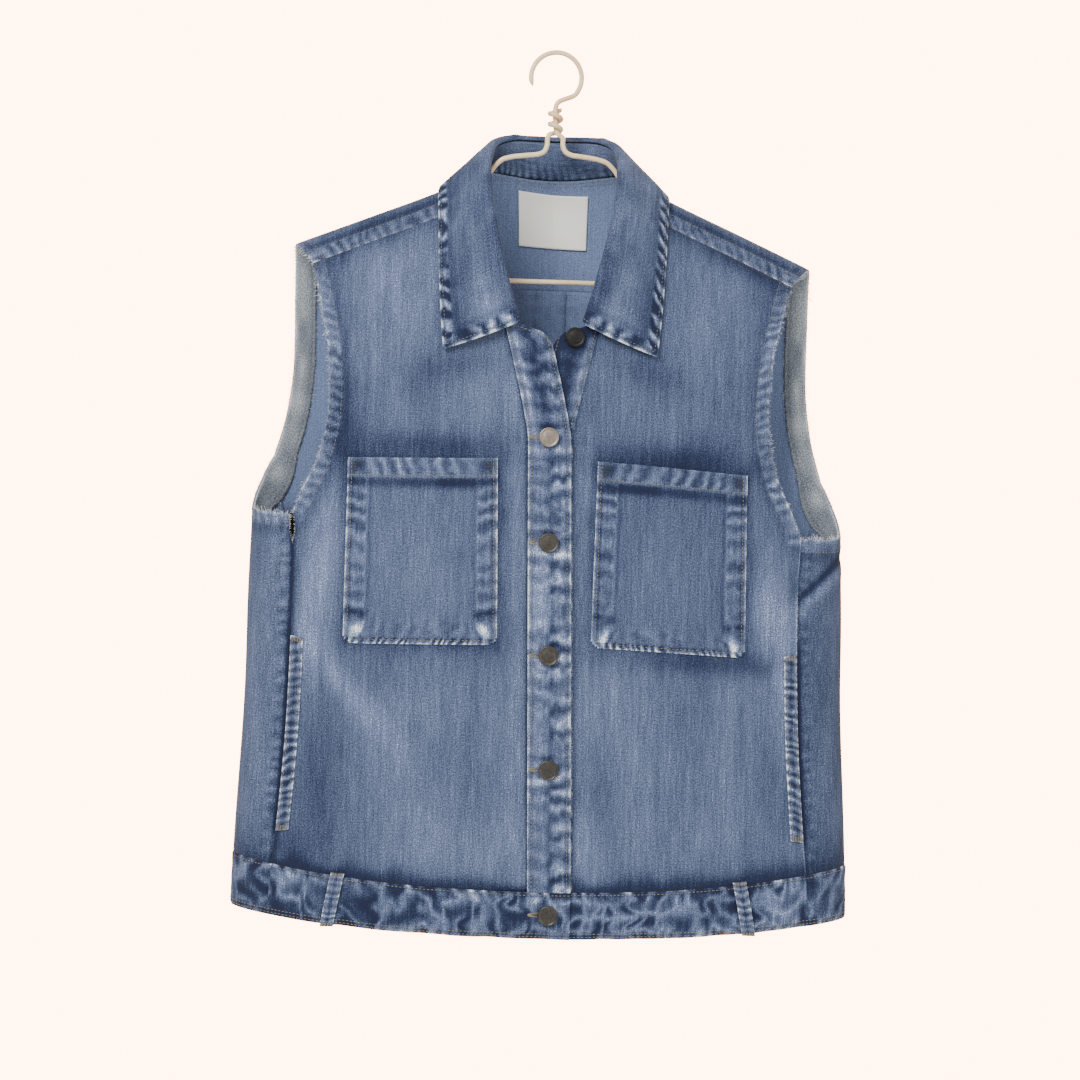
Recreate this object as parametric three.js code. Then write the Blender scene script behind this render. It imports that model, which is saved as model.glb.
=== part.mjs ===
// A sleeveless denim vest, cut like a jean jacket, hanging on a bent wire hanger.
// Millimetres. +x is the wearer's left, the front looks along -y, +z is up.
// The origin is the inside top of the hanger's hook, where the hook sits on a rail.
// The cloth is hollow: every panel is a thin wall bent over one body form, and the neck, hem
// and armholes are open.
import * as THREE from "three";

// Cloth and seams.
const CLOTH = 1.3; // one layer of denim
const DOUBLE = 2.3; // two layers: plackets, waistband, collar
const GAP = 0.3; // between pieces that are sewn together
const EDGE_GAP = GAP / 2 + 0.1; // each panel's share of the gap along a curved seam

// The body form: half width at the side fold and depth of front and back, by height.
const BODY = [
  { z: -790, half: 270, front: 50, back: 43 },
  { z: -700, half: 268.5, front: 52, back: 45 },
  { z: -568, half: 262, front: 50, back: 44 },
  { z: -484, half: 261, front: 47, back: 42 },
  { z: -411, half: 259, front: 45, back: 40 },
  { z: -300, half: 259, front: 42, back: 38 },
  { z: -60, half: 259, front: 42, back: 38 },
];
const SIDE_POWER = 2.5; // roundness of the body's section
const SHOULDER_FALL = 60; // how fast the cloth spreads below the shoulder line
const RIDGE = 6; // radius of the fold over the hanger
const NECK_BULGE = { height: 21, halfWidth: 45, fall: 90, z: -105, start: 8 };

// The shoulder line, from the centre of the neck out to the shoulder tip.
const SHOULDER = [
  { x: 0, z: -80 },
  { x: 40, z: -91 },
  { x: 62, z: -103 },
  { x: 97, z: -122.5 },
  { x: 160, z: -149.5 },
  { x: 226, z: -177.5 },
  { x: 275, z: -199 },
];
const NECK_X = 62;

// Soft folds: side -1 front, 1 back; place, direction from +x, half length, half width, height.
const FOLDS = [
  { side: -1, x: -186, z: -528, turn: -52, long: 60, wide: 15, high: 3.2 },
  { side: -1, x: -110, z: -630, turn: -70, long: 85, wide: 24, high: -3 },
  { side: -1, x: 128, z: -625, turn: 78, long: 90, wide: 26, high: 3 },
  { side: -1, x: 196, z: -470, turn: 62, long: 62, wide: 16, high: 3 },
  { side: -1, x: -70, z: -310, turn: 84, long: 70, wide: 26, high: -2.2 },
  { side: -1, x: 84, z: -315, turn: 96, long: 66, wide: 24, high: -2.4 },
  { side: -1, x: 240, z: -440, turn: 50, long: 30, wide: 7, high: -4.5 },
  { side: -1, x: 247, z: -462, turn: 56, long: 34, wide: 11, high: 3.2 },
  { side: 1, x: -135, z: -520, turn: 86, long: 150, wide: 24, high: 4.5 },
  { side: 1, x: -58, z: -590, turn: 93, long: 130, wide: 22, high: -4 },
  { side: 1, x: 66, z: -560, turn: 88, long: 150, wide: 24, high: 4 },
  { side: 1, x: 150, z: -600, turn: 84, long: 110, wide: 20, high: -3.6 },
  { side: 1, x: 168, z: -400, turn: 62, long: 80, wide: 18, high: 3.4 },
  { side: 1, x: -172, z: -390, turn: 118, long: 74, wide: 18, high: 3 },
];

// Seams, by height or by distance from the centre.
const FRONT_SIDE_SEAM = [
  { z: -790, x: 240 },
  { z: -753, x: 235 },
  { z: -710, x: 231 },
  { z: -680, x: 227.8 },
  { z: -600, x: 221.7 },
  { z: -518, x: 219 },
  { z: -450, x: 219 },
  { z: -415, x: 221 },
];
const BACK_SIDE_SEAM = [
  { z: -790, x: 240 },
  { z: -753, x: 235 },
  { z: -710, x: 231 },
  { z: -600, x: 222 },
  { z: -518, x: 220 },
  { z: -450, x: 226 },
  { z: -400, x: 236 },
  { z: -364, x: 243.5 },
];
const FRONT_ARMHOLE = [
  { x: 221, z: -415 },
  { x: 211.6, z: -392 },
  { x: 199.7, z: -366 },
  { x: 191.5, z: -332 },
  { x: 190.4, z: -297 },
  { x: 193.9, z: -260 },
  { x: 202.5, z: -222 },
  { x: 209, z: -196.5 },
];
const BACK_ARMHOLE = [
  { x: 243.5, z: -364 },
  { x: 234, z: -329 },
  { x: 228.5, z: -290 },
  { x: 227.5, z: -255 },
  { x: 227.5, z: -223 },
];
// The shoulder's armhole edge, by distance over the ridge from front (-) to back (+).
const SHOULDER_END = [
  { w: -30, x: 208 },
  { w: -15, x: 217 },
  { w: 0, x: 226 },
  { w: 20, x: 227 },
  { w: 60, x: 227.5 },
];
// The underarm edge between the two side seams: share of the way round, and height.
const UNDERARM = [
  { u: 0, z: -415 },
  { u: 0.3, z: -414 },
  { u: 0.55, z: -409 },
  { u: 0.8, z: -390 },
  { u: 1, z: -364 },
];
const WAIST = { side: -705, front: -728, back: -722 };
const HEM = { side: -751, front: -768, back: -764 };
const WAIST_POWER = 2.2;
const FRONT_YOKE = 25; // how far the yoke comes down the front from the shoulder line
const BACK_YOKE = { centre: -203, drop: 20 };

// The front opening: the right front laps over the left and spreads above the first button.
const OPENING = { freeTop: -250, sewnTop: -237, spreadFrom: -339, spread: 20, centreTop: 1, centreBottom: 9 };
const PLACKET_HALF = 18.5;
const UNDER_PLACKET_OUT = 20; // the under placket's sewn edge, from the centre line
const UNDER_PLACKET_IN = 16.5; // its free edge
const FRONT_NECK = [
  { x: 64, z: -128 },
  { x: 63.5, z: -150 },
  { x: 58, z: -184 },
  { x: 51, z: -212 },
];
// The right side seam has come undone below the armhole.
const RIP = { halfWidth: 2.7, from: -415, to: -431, end: -441 };
// The back's seam shows a little to the wearer's left of the centre.
const BACK_SEAM = { top: 14, bottom: 4 };

// The collar, from the centre back (first row) to its front end. Its roll line is in space; its
// outer edge lies over the body at x, w (distance over the shoulder, - in front), lifted off it.
const COLLAR = [
  { rx: 0, ry: 35, rz: -67, ex: 0, w: 45, lift: 3.2 },
  { rx: 22, ry: 30, rz: -67.5, ex: 32, w: 40, lift: 3.2 },
  { rx: 42, ry: 18, rz: -70, ex: 64, w: 24, lift: 3.4 },
  { rx: 54.5, ry: 4, rz: -77.5, ex: 90, w: 9, lift: 4 },
  { rx: 58, ry: -10, rz: -90, ex: 99, w: -5, lift: 3.8 },
  { rx: 57.5, ry: -27, rz: -109, ex: 99.3, w: -24, lift: 3.2 },
  { rx: 54, ry: -40, rz: -136, ex: 98.5, w: -51, lift: 3 },
  { rx: 46.5, ry: -49, rz: -174, ex: 97, w: -86, lift: 3.4 },
  { rx: 37, ry: -52, rz: -210, ex: 94.5, w: -120, lift: 4.2 },
  { rx: 28.5, ry: -52.5, rz: -241, ex: 92, w: -150, lift: 4.6 },
];
const NECK_SEAM = [
  { side: 1, x: 0, z: -105 },
  { side: 1, x: 22, z: -105 },
  { side: 1, x: 42, z: -104 },
  { side: 1, x: 57, z: -103.5 },
  { side: -1, x: 61, z: -104 },
  { side: -1, x: 62.4, z: -118 },
  { side: -1, x: 62, z: -146 },
  { side: -1, x: 57, z: -182 },
  { side: -1, x: 48, z: -214 },
  { side: -1, x: 36, z: -238 },
];
const ROLL = 3.4; // radius of the roll

// What is sewn on.
const POCKET = {
  topIn: [43, -358],
  topOut: [172, -363.6],
  bottomIn: [40, -518],
  bottomOut: [173, -522],
  hem: 17,
};
const WELT = { width: 11, top: -518, bottom: -683 };
const LOOP = { top: [172, -716], bottom: [181, -763], width: 11.5, bow: 1.6 };
const LABEL = {
  top: [[-32.6, -114.9], [31.8, -118.4]],
  bottom: [[-31.1, -163.7], [30.9, -166.5]],
};
const ASKEW = { rise: 6.5, halfWidth: 230, from: -650, whole: -430 };
const FACING = { width: 18, thick: 1, gap: 0.5 };
const BUTTON = { radius: 8.6, rim: 1.1, height: 3.4, foot: 5.2 };
const BUTTON_Z = [-339, -429.5, -526, -623.4, -747];
const TOP_BUTTON = { x: 21, z: -252 };

// The hanger.
const WIRE = 2.2; // radius
const HOOK = { radius: 20, mouth: 200, bottom: -46 };
const TWIST = { bottom: -70, top: -47, turns: 2.5 };
const BAR_Z = -200;

const rad = THREE.MathUtils.degToRad;
const lerp = THREE.MathUtils.lerp;
const clamp01 = (t) => Math.min(Math.max(t, 0), 1);
const range = (n) => Array.from({ length: n + 1 }, (_, i) => i / n);

// Smooth reading of a table: the value in `out` where the column `by` equals `at`.
function read(table, by, out, at) {
  const rows = table[0][by] < table[table.length - 1][by] ? table : [...table].reverse();
  let i = 0;
  while (i < rows.length - 2 && rows[i + 1][by] < at) i++;
  const a = rows[Math.max(i - 1, 0)];
  const [b, c] = [rows[i], rows[i + 1]];
  const d = rows[Math.min(i + 2, rows.length - 1)];
  const span = c[by] - b[by];
  const t = clamp01((at - b[by]) / span);
  const inSlope = ((c[out] - a[out]) / (c[by] - a[by])) * span;
  const outSlope = ((d[out] - b[out]) / (d[by] - b[by])) * span;
  const t2 = t * t;
  const t3 = t2 * t;
  return (
    (2 * t3 - 3 * t2 + 1) * b[out] +
    (t3 - 2 * t2 + t) * inSlope +
    (3 * t2 - 2 * t3) * c[out] +
    (t3 - t2) * outSlope
  );
}

// n + 1 evenly spaced points along the smooth curve through a table's rows.
function along(table, n, a = "x", b = "z") {
  const curve = new THREE.SplineCurve(table.map((row) => new THREE.Vector2(row[a], row[b])));
  return curve.getSpacedPoints(n).map((p) => [p.x, p.y]);
}

const shoulderZ = (x) => read(SHOULDER, "x", "z", Math.abs(x));
const halfWidth = (z) => read(BODY, "z", "half", z);

function foldHeight(side, x, z) {
  let sum = 0;
  for (const f of FOLDS) {
    if (f.side !== side) continue;
    const [c, s] = [Math.cos(rad(f.turn)), Math.sin(rad(f.turn))];
    const p = ((x - f.x) * c + (z - f.z) * s) / f.long;
    const q = (-(x - f.x) * s + (z - f.z) * c) / f.wide;
    sum += f.high * Math.exp(-p * p - q * q);
  }
  return sum;
}

// Depth of the cloth's outer face from the mid plane; side is -1 for the front, 1 for the back.
// down is the distance below the shoulder line.
function depth(side, x, z, down = shoulderZ(x) - z) {
  const share = Math.min(Math.abs(x) / halfWidth(z), 1);
  const round = (1 - share ** SIDE_POWER) ** (1 / SIDE_POWER);
  const full = read(BODY, "z", side < 0 ? "front" : "back", z);
  const low = Math.max(down, 0);
  const overRidge = RIDGE * Math.sqrt(1 - (1 - Math.min(low / RIDGE, 1)) ** 2);
  let sum = full * (1 - Math.exp(-low / SHOULDER_FALL)) + overRidge;
  if (side > 0) {
    const n = NECK_BULGE;
    const near = Math.exp(-((x / n.halfWidth) ** 2) - (Math.min(z - n.z, 0) / n.fall) ** 2);
    sum += n.height * near * (1 - Math.exp(-low / n.start));
  }
  sum += foldHeight(side, x, z) * (1 - Math.exp(-low / SHOULDER_FALL));
  return round * sum;
}

// Charts turn two sewing coordinates into a point on the outer face.
const chart = {
  front: (x, z) => new THREE.Vector3(x, -depth(-1, x, z), z),
  back: (x, z) => new THREE.Vector3(x, depth(1, x, z), z),
  // angle runs round the side fold, from the front (negative) to the back; sign picks the side.
  side: (sign) => (angle, z) => {
    const x = sign * halfWidth(z) * Math.cos(angle) ** (2 / SIDE_POWER);
    const face = angle < 0 ? -1 : 1;
    const toward = halfWidth(z) * Math.cos(angle) ** (2 / SIDE_POWER);
    return new THREE.Vector3(x, face * depth(face, sign * toward, z), z);
  },
  // w is the distance over the shoulder ridge, negative in front.
  yoke: (x, w) => {
    const quarter = (Math.PI / 2) * RIDGE;
    const far = Math.abs(w);
    const down = far < quarter ? RIDGE * (1 - Math.cos(far / RIDGE)) : RIDGE + far - quarter;
    const z = shoulderZ(x) - down;
    const face = w < 0 ? -1 : 1;
    return new THREE.Vector3(x, face * depth(face, x, z, down), z);
  },
};
const ridgeExtra = (Math.PI / 2 - 1) * RIDGE;
const overRidge = (x, z) => shoulderZ(x) - z + ridgeExtra;
const sideAngle = (x, z) => Math.acos(clamp01(x / halfWidth(z)) ** (SIDE_POWER / 2));

// Unit normal of a chart, facing away from the middle of the body.
function outward(at, a, b) {
  const step = 0.4;
  const da = at(a + step, b).sub(at(a - step, b));
  const db = at(a, b + step).sub(at(a, b - step));
  return da.cross(db).normalize();
}
function facing(at, a, b, p) {
  const n = outward(at, a, b);
  const middle = new THREE.Vector3(p.x * 0.9, 0, Math.min(p.z, shoulderZ(p.x) - 30));
  return n.dot(p.clone().sub(middle)) < 0 ? n.negate() : n;
}
function sideFacing(sign, angle, z) {
  const at = chart.side(sign);
  const step = 0.01;
  const da = at(angle + step, z).sub(at(angle - step, z));
  const db = at(angle, z + 1).sub(at(angle, z - 1));
  const n = da.cross(db).normalize();
  return n.x * sign < 0 ? n.negate() : n;
}

// A closed wall over a grid of cells. at(i, j) gives { out, in }, the two faces' points.
// has(i, j) says which cells exist.
function wall(rows, cols, at, has = () => true) {
  const index = new Map();
  const positions = [];
  const corner = (i, j, face) => {
    const key = (i * (cols + 1) + j) * 2 + face;
    if (!index.has(key)) {
      index.set(key, positions.length / 3);
      const p = at(i, j)[face ? "in" : "out"];
      positions.push(p.x, p.y, p.z);
    }
    return index.get(key);
  };
  const cell = (i, j) => i >= 0 && i < rows && j >= 0 && j < cols && has(i, j);
  const faces = [];
  const quad = (a, b, c, d) => faces.push(a, b, c, a, c, d);
  for (let i = 0; i < rows; i++) {
    for (let j = 0; j < cols; j++) {
      if (!cell(i, j)) continue;
      const outer = [corner(i, j, 0), corner(i, j + 1, 0), corner(i + 1, j + 1, 0), corner(i + 1, j, 0)];
      const inner = [corner(i, j, 1), corner(i, j + 1, 1), corner(i + 1, j + 1, 1), corner(i + 1, j, 1)];
      quad(...outer);
      quad(inner[0], inner[3], inner[2], inner[1]);
      const beyond = [cell(i - 1, j), cell(i, j + 1), cell(i + 1, j), cell(i, j - 1)];
      beyond.forEach((there, k) => {
        const next = (k + 1) % 4;
        if (!there) quad(outer[next], outer[k], inner[k], inner[next]);
      });
    }
  }
  const geometry = new THREE.BufferGeometry();
  geometry.setAttribute("position", new THREE.Float32BufferAttribute(positions, 3));
  geometry.setIndex(faces);
  return facingOut(geometry);
}

// The same geometry with its faces pointing out.
function facingOut(geometry) {
  const [p, f] = [geometry.attributes.position, geometry.index.array];
  const [a, b, c] = [new THREE.Vector3(), new THREE.Vector3(), new THREE.Vector3()];
  let volume = 0;
  for (let k = 0; k < f.length; k += 3) {
    a.fromBufferAttribute(p, f[k]);
    b.fromBufferAttribute(p, f[k + 1]);
    c.fromBufferAttribute(p, f[k + 2]);
    volume += a.dot(b.cross(c));
  }
  if (volume < 0) for (let k = 0; k < f.length; k += 3) [f[k], f[k + 1]] = [f[k + 1], f[k]];
  geometry.computeVertexNormals();
  return geometry;
}

// Both faces of a wall at a chart's point: `low` and `high` are distances out of the outer face.
function layer(at, a, b, low, high, turnOut = facing) {
  const p = at(a, b);
  const n = turnOut(at, a, b, p);
  return { out: p.clone().addScaledVector(n, high), in: p.clone().addScaledVector(n, low) };
}

// Shares of a panel's width, closer together toward its outer edge, where the body turns.
const towardEdge = (t) => 1 - (1 - t) ** 1.35;

// The share of a line's length passed at each of its points.
function lengthShares(points) {
  const passed = [0];
  points.slice(1).forEach(([a, b], k) => passed.push(passed[k] + Math.hypot(a - points[k][0], b - points[k][1])));
  return passed.map((length) => length / passed[passed.length - 1]);
}

// Blends four edges into a grid: inner and outer run up, bottom and top run across.
// up and over hold each row's and each column's share of the way.
function coons(inner, outer, bottom, top, up, over) {
  const rows = inner.length - 1;
  const cols = bottom.length - 1;
  return (i, j) => {
    const [u, v] = [over[j], up[i]];
    return [0, 1].map(
      (k) =>
        lerp(inner[i][k], outer[i][k], u) +
        lerp(bottom[j][k], top[j][k], v) -
        lerp(lerp(inner[0][k], outer[0][k], u), lerp(inner[rows][k], outer[rows][k], u), v),
    );
  };
}

const waistZ = (side, x) => seamZ(WAIST, side, x);
const hemZ = (side, x) => seamZ(HEM, side, x);
function seamZ(line, side, x) {
  const share = 1 - Math.min(Math.abs(x) / halfWidth(line.side), 1) ** WAIST_POWER;
  return line.side + (line[side < 0 ? "front" : "back"] - line.side) * share;
}
const frontSeamX = (z) => read(FRONT_SIDE_SEAM, "z", "x", z);
const backSeamX = (z) => read(BACK_SIDE_SEAM, "z", "x", z);
const backYokeZ = (x) => BACK_YOKE.centre - BACK_YOKE.drop * (x / 227.5) ** 2;

// The opening's centre line, and how far each front has spread from it.
const centreX = (z) =>
  lerp(
    OPENING.centreTop,
    OPENING.centreBottom,
    clamp01((z - OPENING.spreadFrom) / (WAIST.front - OPENING.spreadFrom)),
  );
const spreadX = (z) => {
  const t = Math.max(z - OPENING.spreadFrom, 0) / (OPENING.freeTop - OPENING.spreadFrom);
  return OPENING.spread * t ** 1.15;
};

const ROWS_BELOW = 12;
const ROWS_ARM = 9;
const ROWS_BACK_ARM = 6;
const FRONT_COLS = 12;

// Shares of a side seam's height at the panels' rows: the last two rows are as tall as the rip.
const SEAM_SHARES = [...range(ROWS_BELOW - 2).map((t) => t * shareUp(RIP.end)), shareUp(RIP.to), 1];
function shareUp(z) {
  return (z - WAIST.side) / (RIP.from - WAIST.side);
}
// Heights of the rows up a side seam, the same for the two panels that meet there.
function sideRows(side, seamX, top) {
  const bottom = waistZ(side, seamX(WAIST.side));
  return SEAM_SHARES.map((t) => lerp(bottom, top, t));
}
// How far each panel's edge has drawn back from the side seam.
function ripX(sign, z) {
  if (sign > 0) return 0;
  return RIP.halfWidth * clamp01((z - RIP.end) / (RIP.to - RIP.end));
}

function frontPanel(sign) {
  const placketEdge = (z) =>
    sign < 0 ? PLACKET_HALF - centreX(z) + spreadX(z) : UNDER_PLACKET_OUT + centreX(z) + spreadX(z);
  const below = sideRows(-1, frontSeamX, FRONT_ARMHOLE[0].z);
  const outer = [
    ...below.map((z) => [frontSeamX(z) - EDGE_GAP - ripX(sign, z), z]),
    ...along(FRONT_ARMHOLE, ROWS_ARM).slice(1),
  ];
  outer[outer.length - 1][1] -= EDGE_GAP;
  const up = lengthShares(outer);
  const low = waistZ(-1, UNDER_PLACKET_OUT) + EDGE_GAP;
  const cornerRow = 17;
  const corner = [placketEdge(OPENING.sewnTop) + EDGE_GAP, OPENING.sewnTop];
  const neck = new THREE.SplineCurve(
    [corner, ...FRONT_NECK.map(({ x, z }) => [x, z]).reverse()].map(([x, z]) => new THREE.Vector2(x, z)),
  );
  const inner = up.map((t, i) => {
    const z = lerp(low, OPENING.sewnTop, t / up[cornerRow]);
    if (i <= cornerRow) return [placketEdge(z) + EDGE_GAP, z];
    return neck.getPointAt((t - up[cornerRow]) / (1 - up[cornerRow])).toArray();
  });
  inner[0][1] = waistZ(-1, inner[0][0]) + EDGE_GAP;
  outer[0][1] = waistZ(-1, outer[0][0]) + EDGE_GAP;
  const shares = range(FRONT_COLS).map(towardEdge);
  const bottom = shares.map((t) => {
    const x = lerp(inner[0][0], outer[0][0], t);
    return [x, waistZ(-1, x) + EDGE_GAP];
  });
  const [from, to] = [inner[inner.length - 1], outer[outer.length - 1]];
  const top = shares.map((t) => {
    const x = lerp(from[0], to[0], t);
    return [x, shoulderZ(x) - FRONT_YOKE - EDGE_GAP];
  });
  from[1] = top[0][1];
  to[1] = top[FRONT_COLS][1];
  const grid = coons(inner, outer, bottom, top, up, shares);
  return wall(ROWS_BELOW + ROWS_ARM, FRONT_COLS, (i, j) => {
    const [x, z] = grid(i, j);
    return layer(chart.front, sign * x, z, -CLOTH, 0);
  });
}

function backPanel(sign) {
  const below = sideRows(1, backSeamX, BACK_ARMHOLE[0].z);
  const outer = [
    ...below.map((z) => [backSeamX(z) - EDGE_GAP, z]),
    ...along(BACK_ARMHOLE, ROWS_BACK_ARM).slice(1),
  ];
  const rows = ROWS_BELOW + ROWS_BACK_ARM;
  const cols = 10;
  const up = lengthShares(outer);
  const inner = up.map((t) => [
    sign * lerp(BACK_SEAM.bottom, BACK_SEAM.top, t) + EDGE_GAP,
    lerp(WAIST.back + EDGE_GAP, BACK_YOKE.centre - EDGE_GAP, t),
  ]);
  outer[0][1] = waistZ(1, outer[0][0]) + EDGE_GAP;
  outer[rows][1] = backYokeZ(outer[rows][0]) - EDGE_GAP;
  const shares = range(cols).map(towardEdge);
  const bottom = shares.map((t) => {
    const x = lerp(inner[0][0], outer[0][0], t);
    return [x, waistZ(1, x) + EDGE_GAP];
  });
  const top = shares.map((t) => {
    const x = lerp(inner[rows][0], outer[rows][0], t);
    return [x, backYokeZ(x) - EDGE_GAP];
  });
  const grid = coons(inner, outer, bottom, top, up, shares);
  return wall(rows, cols, (i, j) => {
    const [x, z] = grid(i, j);
    return layer(chart.back, sign * x, z, -CLOTH, 0);
  });
}

const SIDE_COLS = 8;
// Angle and height of the underarm edge at a share of the way from the front seam to the back one.
function underarm(u) {
  const z = read(UNDERARM, "u", "z", u);
  const from = -sideAngle(FRONT_ARMHOLE[0].x, FRONT_ARMHOLE[0].z);
  const to = sideAngle(BACK_ARMHOLE[0].x, BACK_ARMHOLE[0].z);
  return [lerp(from, to, u), z];
}

function sidePanel(sign) {
  const atFront = sideRows(-1, frontSeamX, FRONT_ARMHOLE[0].z);
  const atBack = sideRows(1, backSeamX, BACK_ARMHOLE[0].z);
  const front = atFront.map((z) => [-sideAngle(frontSeamX(z) + EDGE_GAP + ripX(sign, z), z), z]);
  const back = atBack.map((z) => [sideAngle(backSeamX(z) + EDGE_GAP, z), z]);
  front[0][1] += EDGE_GAP;
  back[0][1] += EDGE_GAP;
  const bottom = range(SIDE_COLS).map((t) => {
    const angle = lerp(front[0][0], back[0][0], t);
    const x = halfWidth(WAIST.side) * Math.cos(angle) ** (2 / SIDE_POWER);
    return [angle, waistZ(angle < 0 ? -1 : 1, x) + EDGE_GAP];
  });
  const top = range(SIDE_COLS).map((u) => underarm(u));
  top[0] = front[ROWS_BELOW];
  top[SIDE_COLS] = back[ROWS_BELOW];
  const grid = coons(front, back, bottom, top, SEAM_SHARES, range(SIDE_COLS));
  return wall(ROWS_BELOW, SIDE_COLS, (i, j) => {
    const [angle, z] = grid(i, j);
    return layer(chart.side(sign), angle, z, -CLOTH, 0, () => sideFacing(sign, angle, z));
  });
}

const YOKE_MIDDLE = 8; // columns across the back neck
const YOKE_SIDE = 9; // columns from the neck to each shoulder tip
const YOKE_FRONT = 5; // rows in front of the ridge
const YOKE_BACK = 9; // rows behind it
const frontRowW = (i) => {
  const share = 1 - i / YOKE_FRONT;
  return -(FRONT_YOKE + ridgeExtra - EDGE_GAP) * share ** 1.5;
};

function yokePoint(i, j) {
  const cols = 2 * YOKE_SIDE + YOKE_MIDDLE;
  const fromMiddle = j - cols / 2;
  const sign = fromMiddle < 0 ? -1 : 1;
  const step = Math.abs(fromMiddle) - YOKE_MIDDLE / 2;
  const w0 = i < YOKE_FRONT ? frontRowW(i) : 0;
  const share = (i - YOKE_FRONT) / YOKE_BACK;
  if (step <= 0) {
    const x = (NECK_X * fromMiddle) / (YOKE_MIDDLE / 2);
    const neck = Math.max(overRidge(x, read(NECK_SEAM.slice(0, 5), "x", "z", Math.abs(x))), 0);
    const start = step === 0 ? 0 : neck;
    const end = overRidge(x, backYokeZ(x) + EDGE_GAP);
    return [x, i < YOKE_FRONT ? w0 : lerp(start, end, share ** 1.3)];
  }
  const reach = lerp(NECK_X, 227.5, step / YOKE_SIDE);
  const end = overRidge(reach, backYokeZ(reach) + EDGE_GAP);
  const w = i < YOKE_FRONT ? w0 : lerp(0, end, share ** 1.3);
  const tip = read(SHOULDER_END, "w", "x", w);
  return [sign * lerp(NECK_X + (w < 0 ? 2 : 0), tip, step / YOKE_SIDE), w];
}

function yoke() {
  const cols = 2 * YOKE_SIDE + YOKE_MIDDLE;
  const has = (i, j) => i >= YOKE_FRONT || j < YOKE_SIDE || j >= YOKE_SIDE + YOKE_MIDDLE;
  return wall(
    YOKE_FRONT + YOKE_BACK,
    cols,
    (i, j) => {
      const [x, w] = yokePoint(i, j);
      return layer(chart.yoke, x, w, -CLOTH, 0);
    },
    has,
  );
}

// One of the two strips down the opening, from its sewn edge to its free one.
function placket(over) {
  const hand = over ? -1 : 1;
  const sewn = (z) => centreX(z) + hand * ((over ? PLACKET_HALF : UNDER_PLACKET_OUT) + spreadX(z));
  const free = (z) => centreX(z) + hand * (spreadX(z) - (over ? PLACKET_HALF : UNDER_PLACKET_IN));
  const [low, high] = over ? [GAP, GAP + DOUBLE] : [-GAP - DOUBLE, -GAP];
  const [rows, cols] = [24, 3];
  return wall(rows, cols, (i, j) => {
    const u = j / cols;
    const top = lerp(OPENING.sewnTop, OPENING.freeTop, u);
    const level = lerp(WAIST.front, top, i / rows);
    const x = lerp(sewn(level), free(level), u);
    const z = lerp(waistZ(-1, x) + EDGE_GAP, top, i / rows);
    return layer(chart.front, x, z, low, high);
  });
}

// The waistband's two faces: it stands a little proud, and laps at the front opening.
const BAND = { low: -1.7, high: 0.6, rows: 3 };
const LAP = { from: -50, to: -14 };
function bandLift(over, x) {
  if (over) return (DOUBLE + GAP + 0.1) * THREE.MathUtils.smoothstep(x, LAP.from, LAP.to);
  return 0;
}

function waistbandFront(sign) {
  const over = sign < 0;
  const cols = 15;
  const free = over ? OPENING.centreBottom + PLACKET_HALF : OPENING.centreBottom - UNDER_PLACKET_IN;
  return wall(BAND.rows, cols, (i, j) => {
    const v = i / BAND.rows;
    const seam = sign * (frontSeamX(lerp(HEM.side, WAIST.side, v)) - EDGE_GAP);
    const x = lerp(free, seam, j / cols);
    const z = lerp(hemZ(-1, x), waistZ(-1, x) - EDGE_GAP, v);
    const lift = bandLift(over, x);
    return layer(chart.front, x, z, BAND.low + lift, BAND.high + lift);
  });
}

// The back part of the waistband runs from side seam to side seam round both side folds.
function waistbandBack() {
  const [aside, across] = [7, 12];
  const cols = 2 * aside + across;
  const backEdge = 0.75; // angle where the side chart hands over to the back one
  return wall(BAND.rows, cols, (i, j) => {
    const v = i / BAND.rows;
    const level = lerp(HEM.side, WAIST.side, v);
    const sign = j < cols / 2 ? -1 : 1;
    const step = Math.min(j, cols - j);
    const handX = halfWidth(level) * Math.cos(backEdge) ** (2 / SIDE_POWER);
    if (step < aside) {
      const from = -sideAngle(frontSeamX(level) + EDGE_GAP, level);
      const angle = lerp(from, backEdge, step / aside);
      const x = halfWidth(level) * Math.cos(angle) ** (2 / SIDE_POWER);
      const face = angle < 0 ? -1 : 1;
      const z = lerp(hemZ(face, x), waistZ(face, x) - EDGE_GAP, v);
      return layer(chart.side(sign), angle, z, BAND.low, BAND.high, () => sideFacing(sign, angle, z));
    }
    const x = lerp(-handX, handX, (j - aside) / across);
    const z = lerp(hemZ(1, x), waistZ(1, x) - EDGE_GAP, v);
    return layer(chart.back, x, z, BAND.low, BAND.high);
  });
}

// One station of an armhole's facing: faces of the strip at share t of its width from the edge.
function facingStation(pairs, t) {
  const sum = { out: new THREE.Vector3(), in: new THREE.Vector3() };
  for (const { at, edge, inside, turnOut } of pairs) {
    const [a, b] = [lerp(edge[0], inside[0], t), lerp(edge[1], inside[1], t)];
    const high = -CLOTH - FACING.gap;
    const faces = layer(at, a, b, high - FACING.thick, high, turnOut);
    sum.out.addScaledVector(faces.out, 1 / pairs.length);
    sum.in.addScaledVector(faces.in, 1 / pairs.length);
  }
  return sum;
}

// Points of a curve moved sideways into the panel by the facing's width.
function inset(points, k, sign) {
  const [a, b] = [points[Math.max(k - 1, 0)], points[Math.min(k + 1, points.length - 1)]];
  const [dx, dz] = [b[0] - a[0], b[1] - a[1]];
  const long = Math.hypot(dx, dz);
  const [nx, nz] = [-Math.abs(dz) / long, (Math.sign(dz) * dx) / long];
  return [sign * (points[k][0] + nx * FACING.width), points[k][1] + nz * FACING.width];
}

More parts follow.
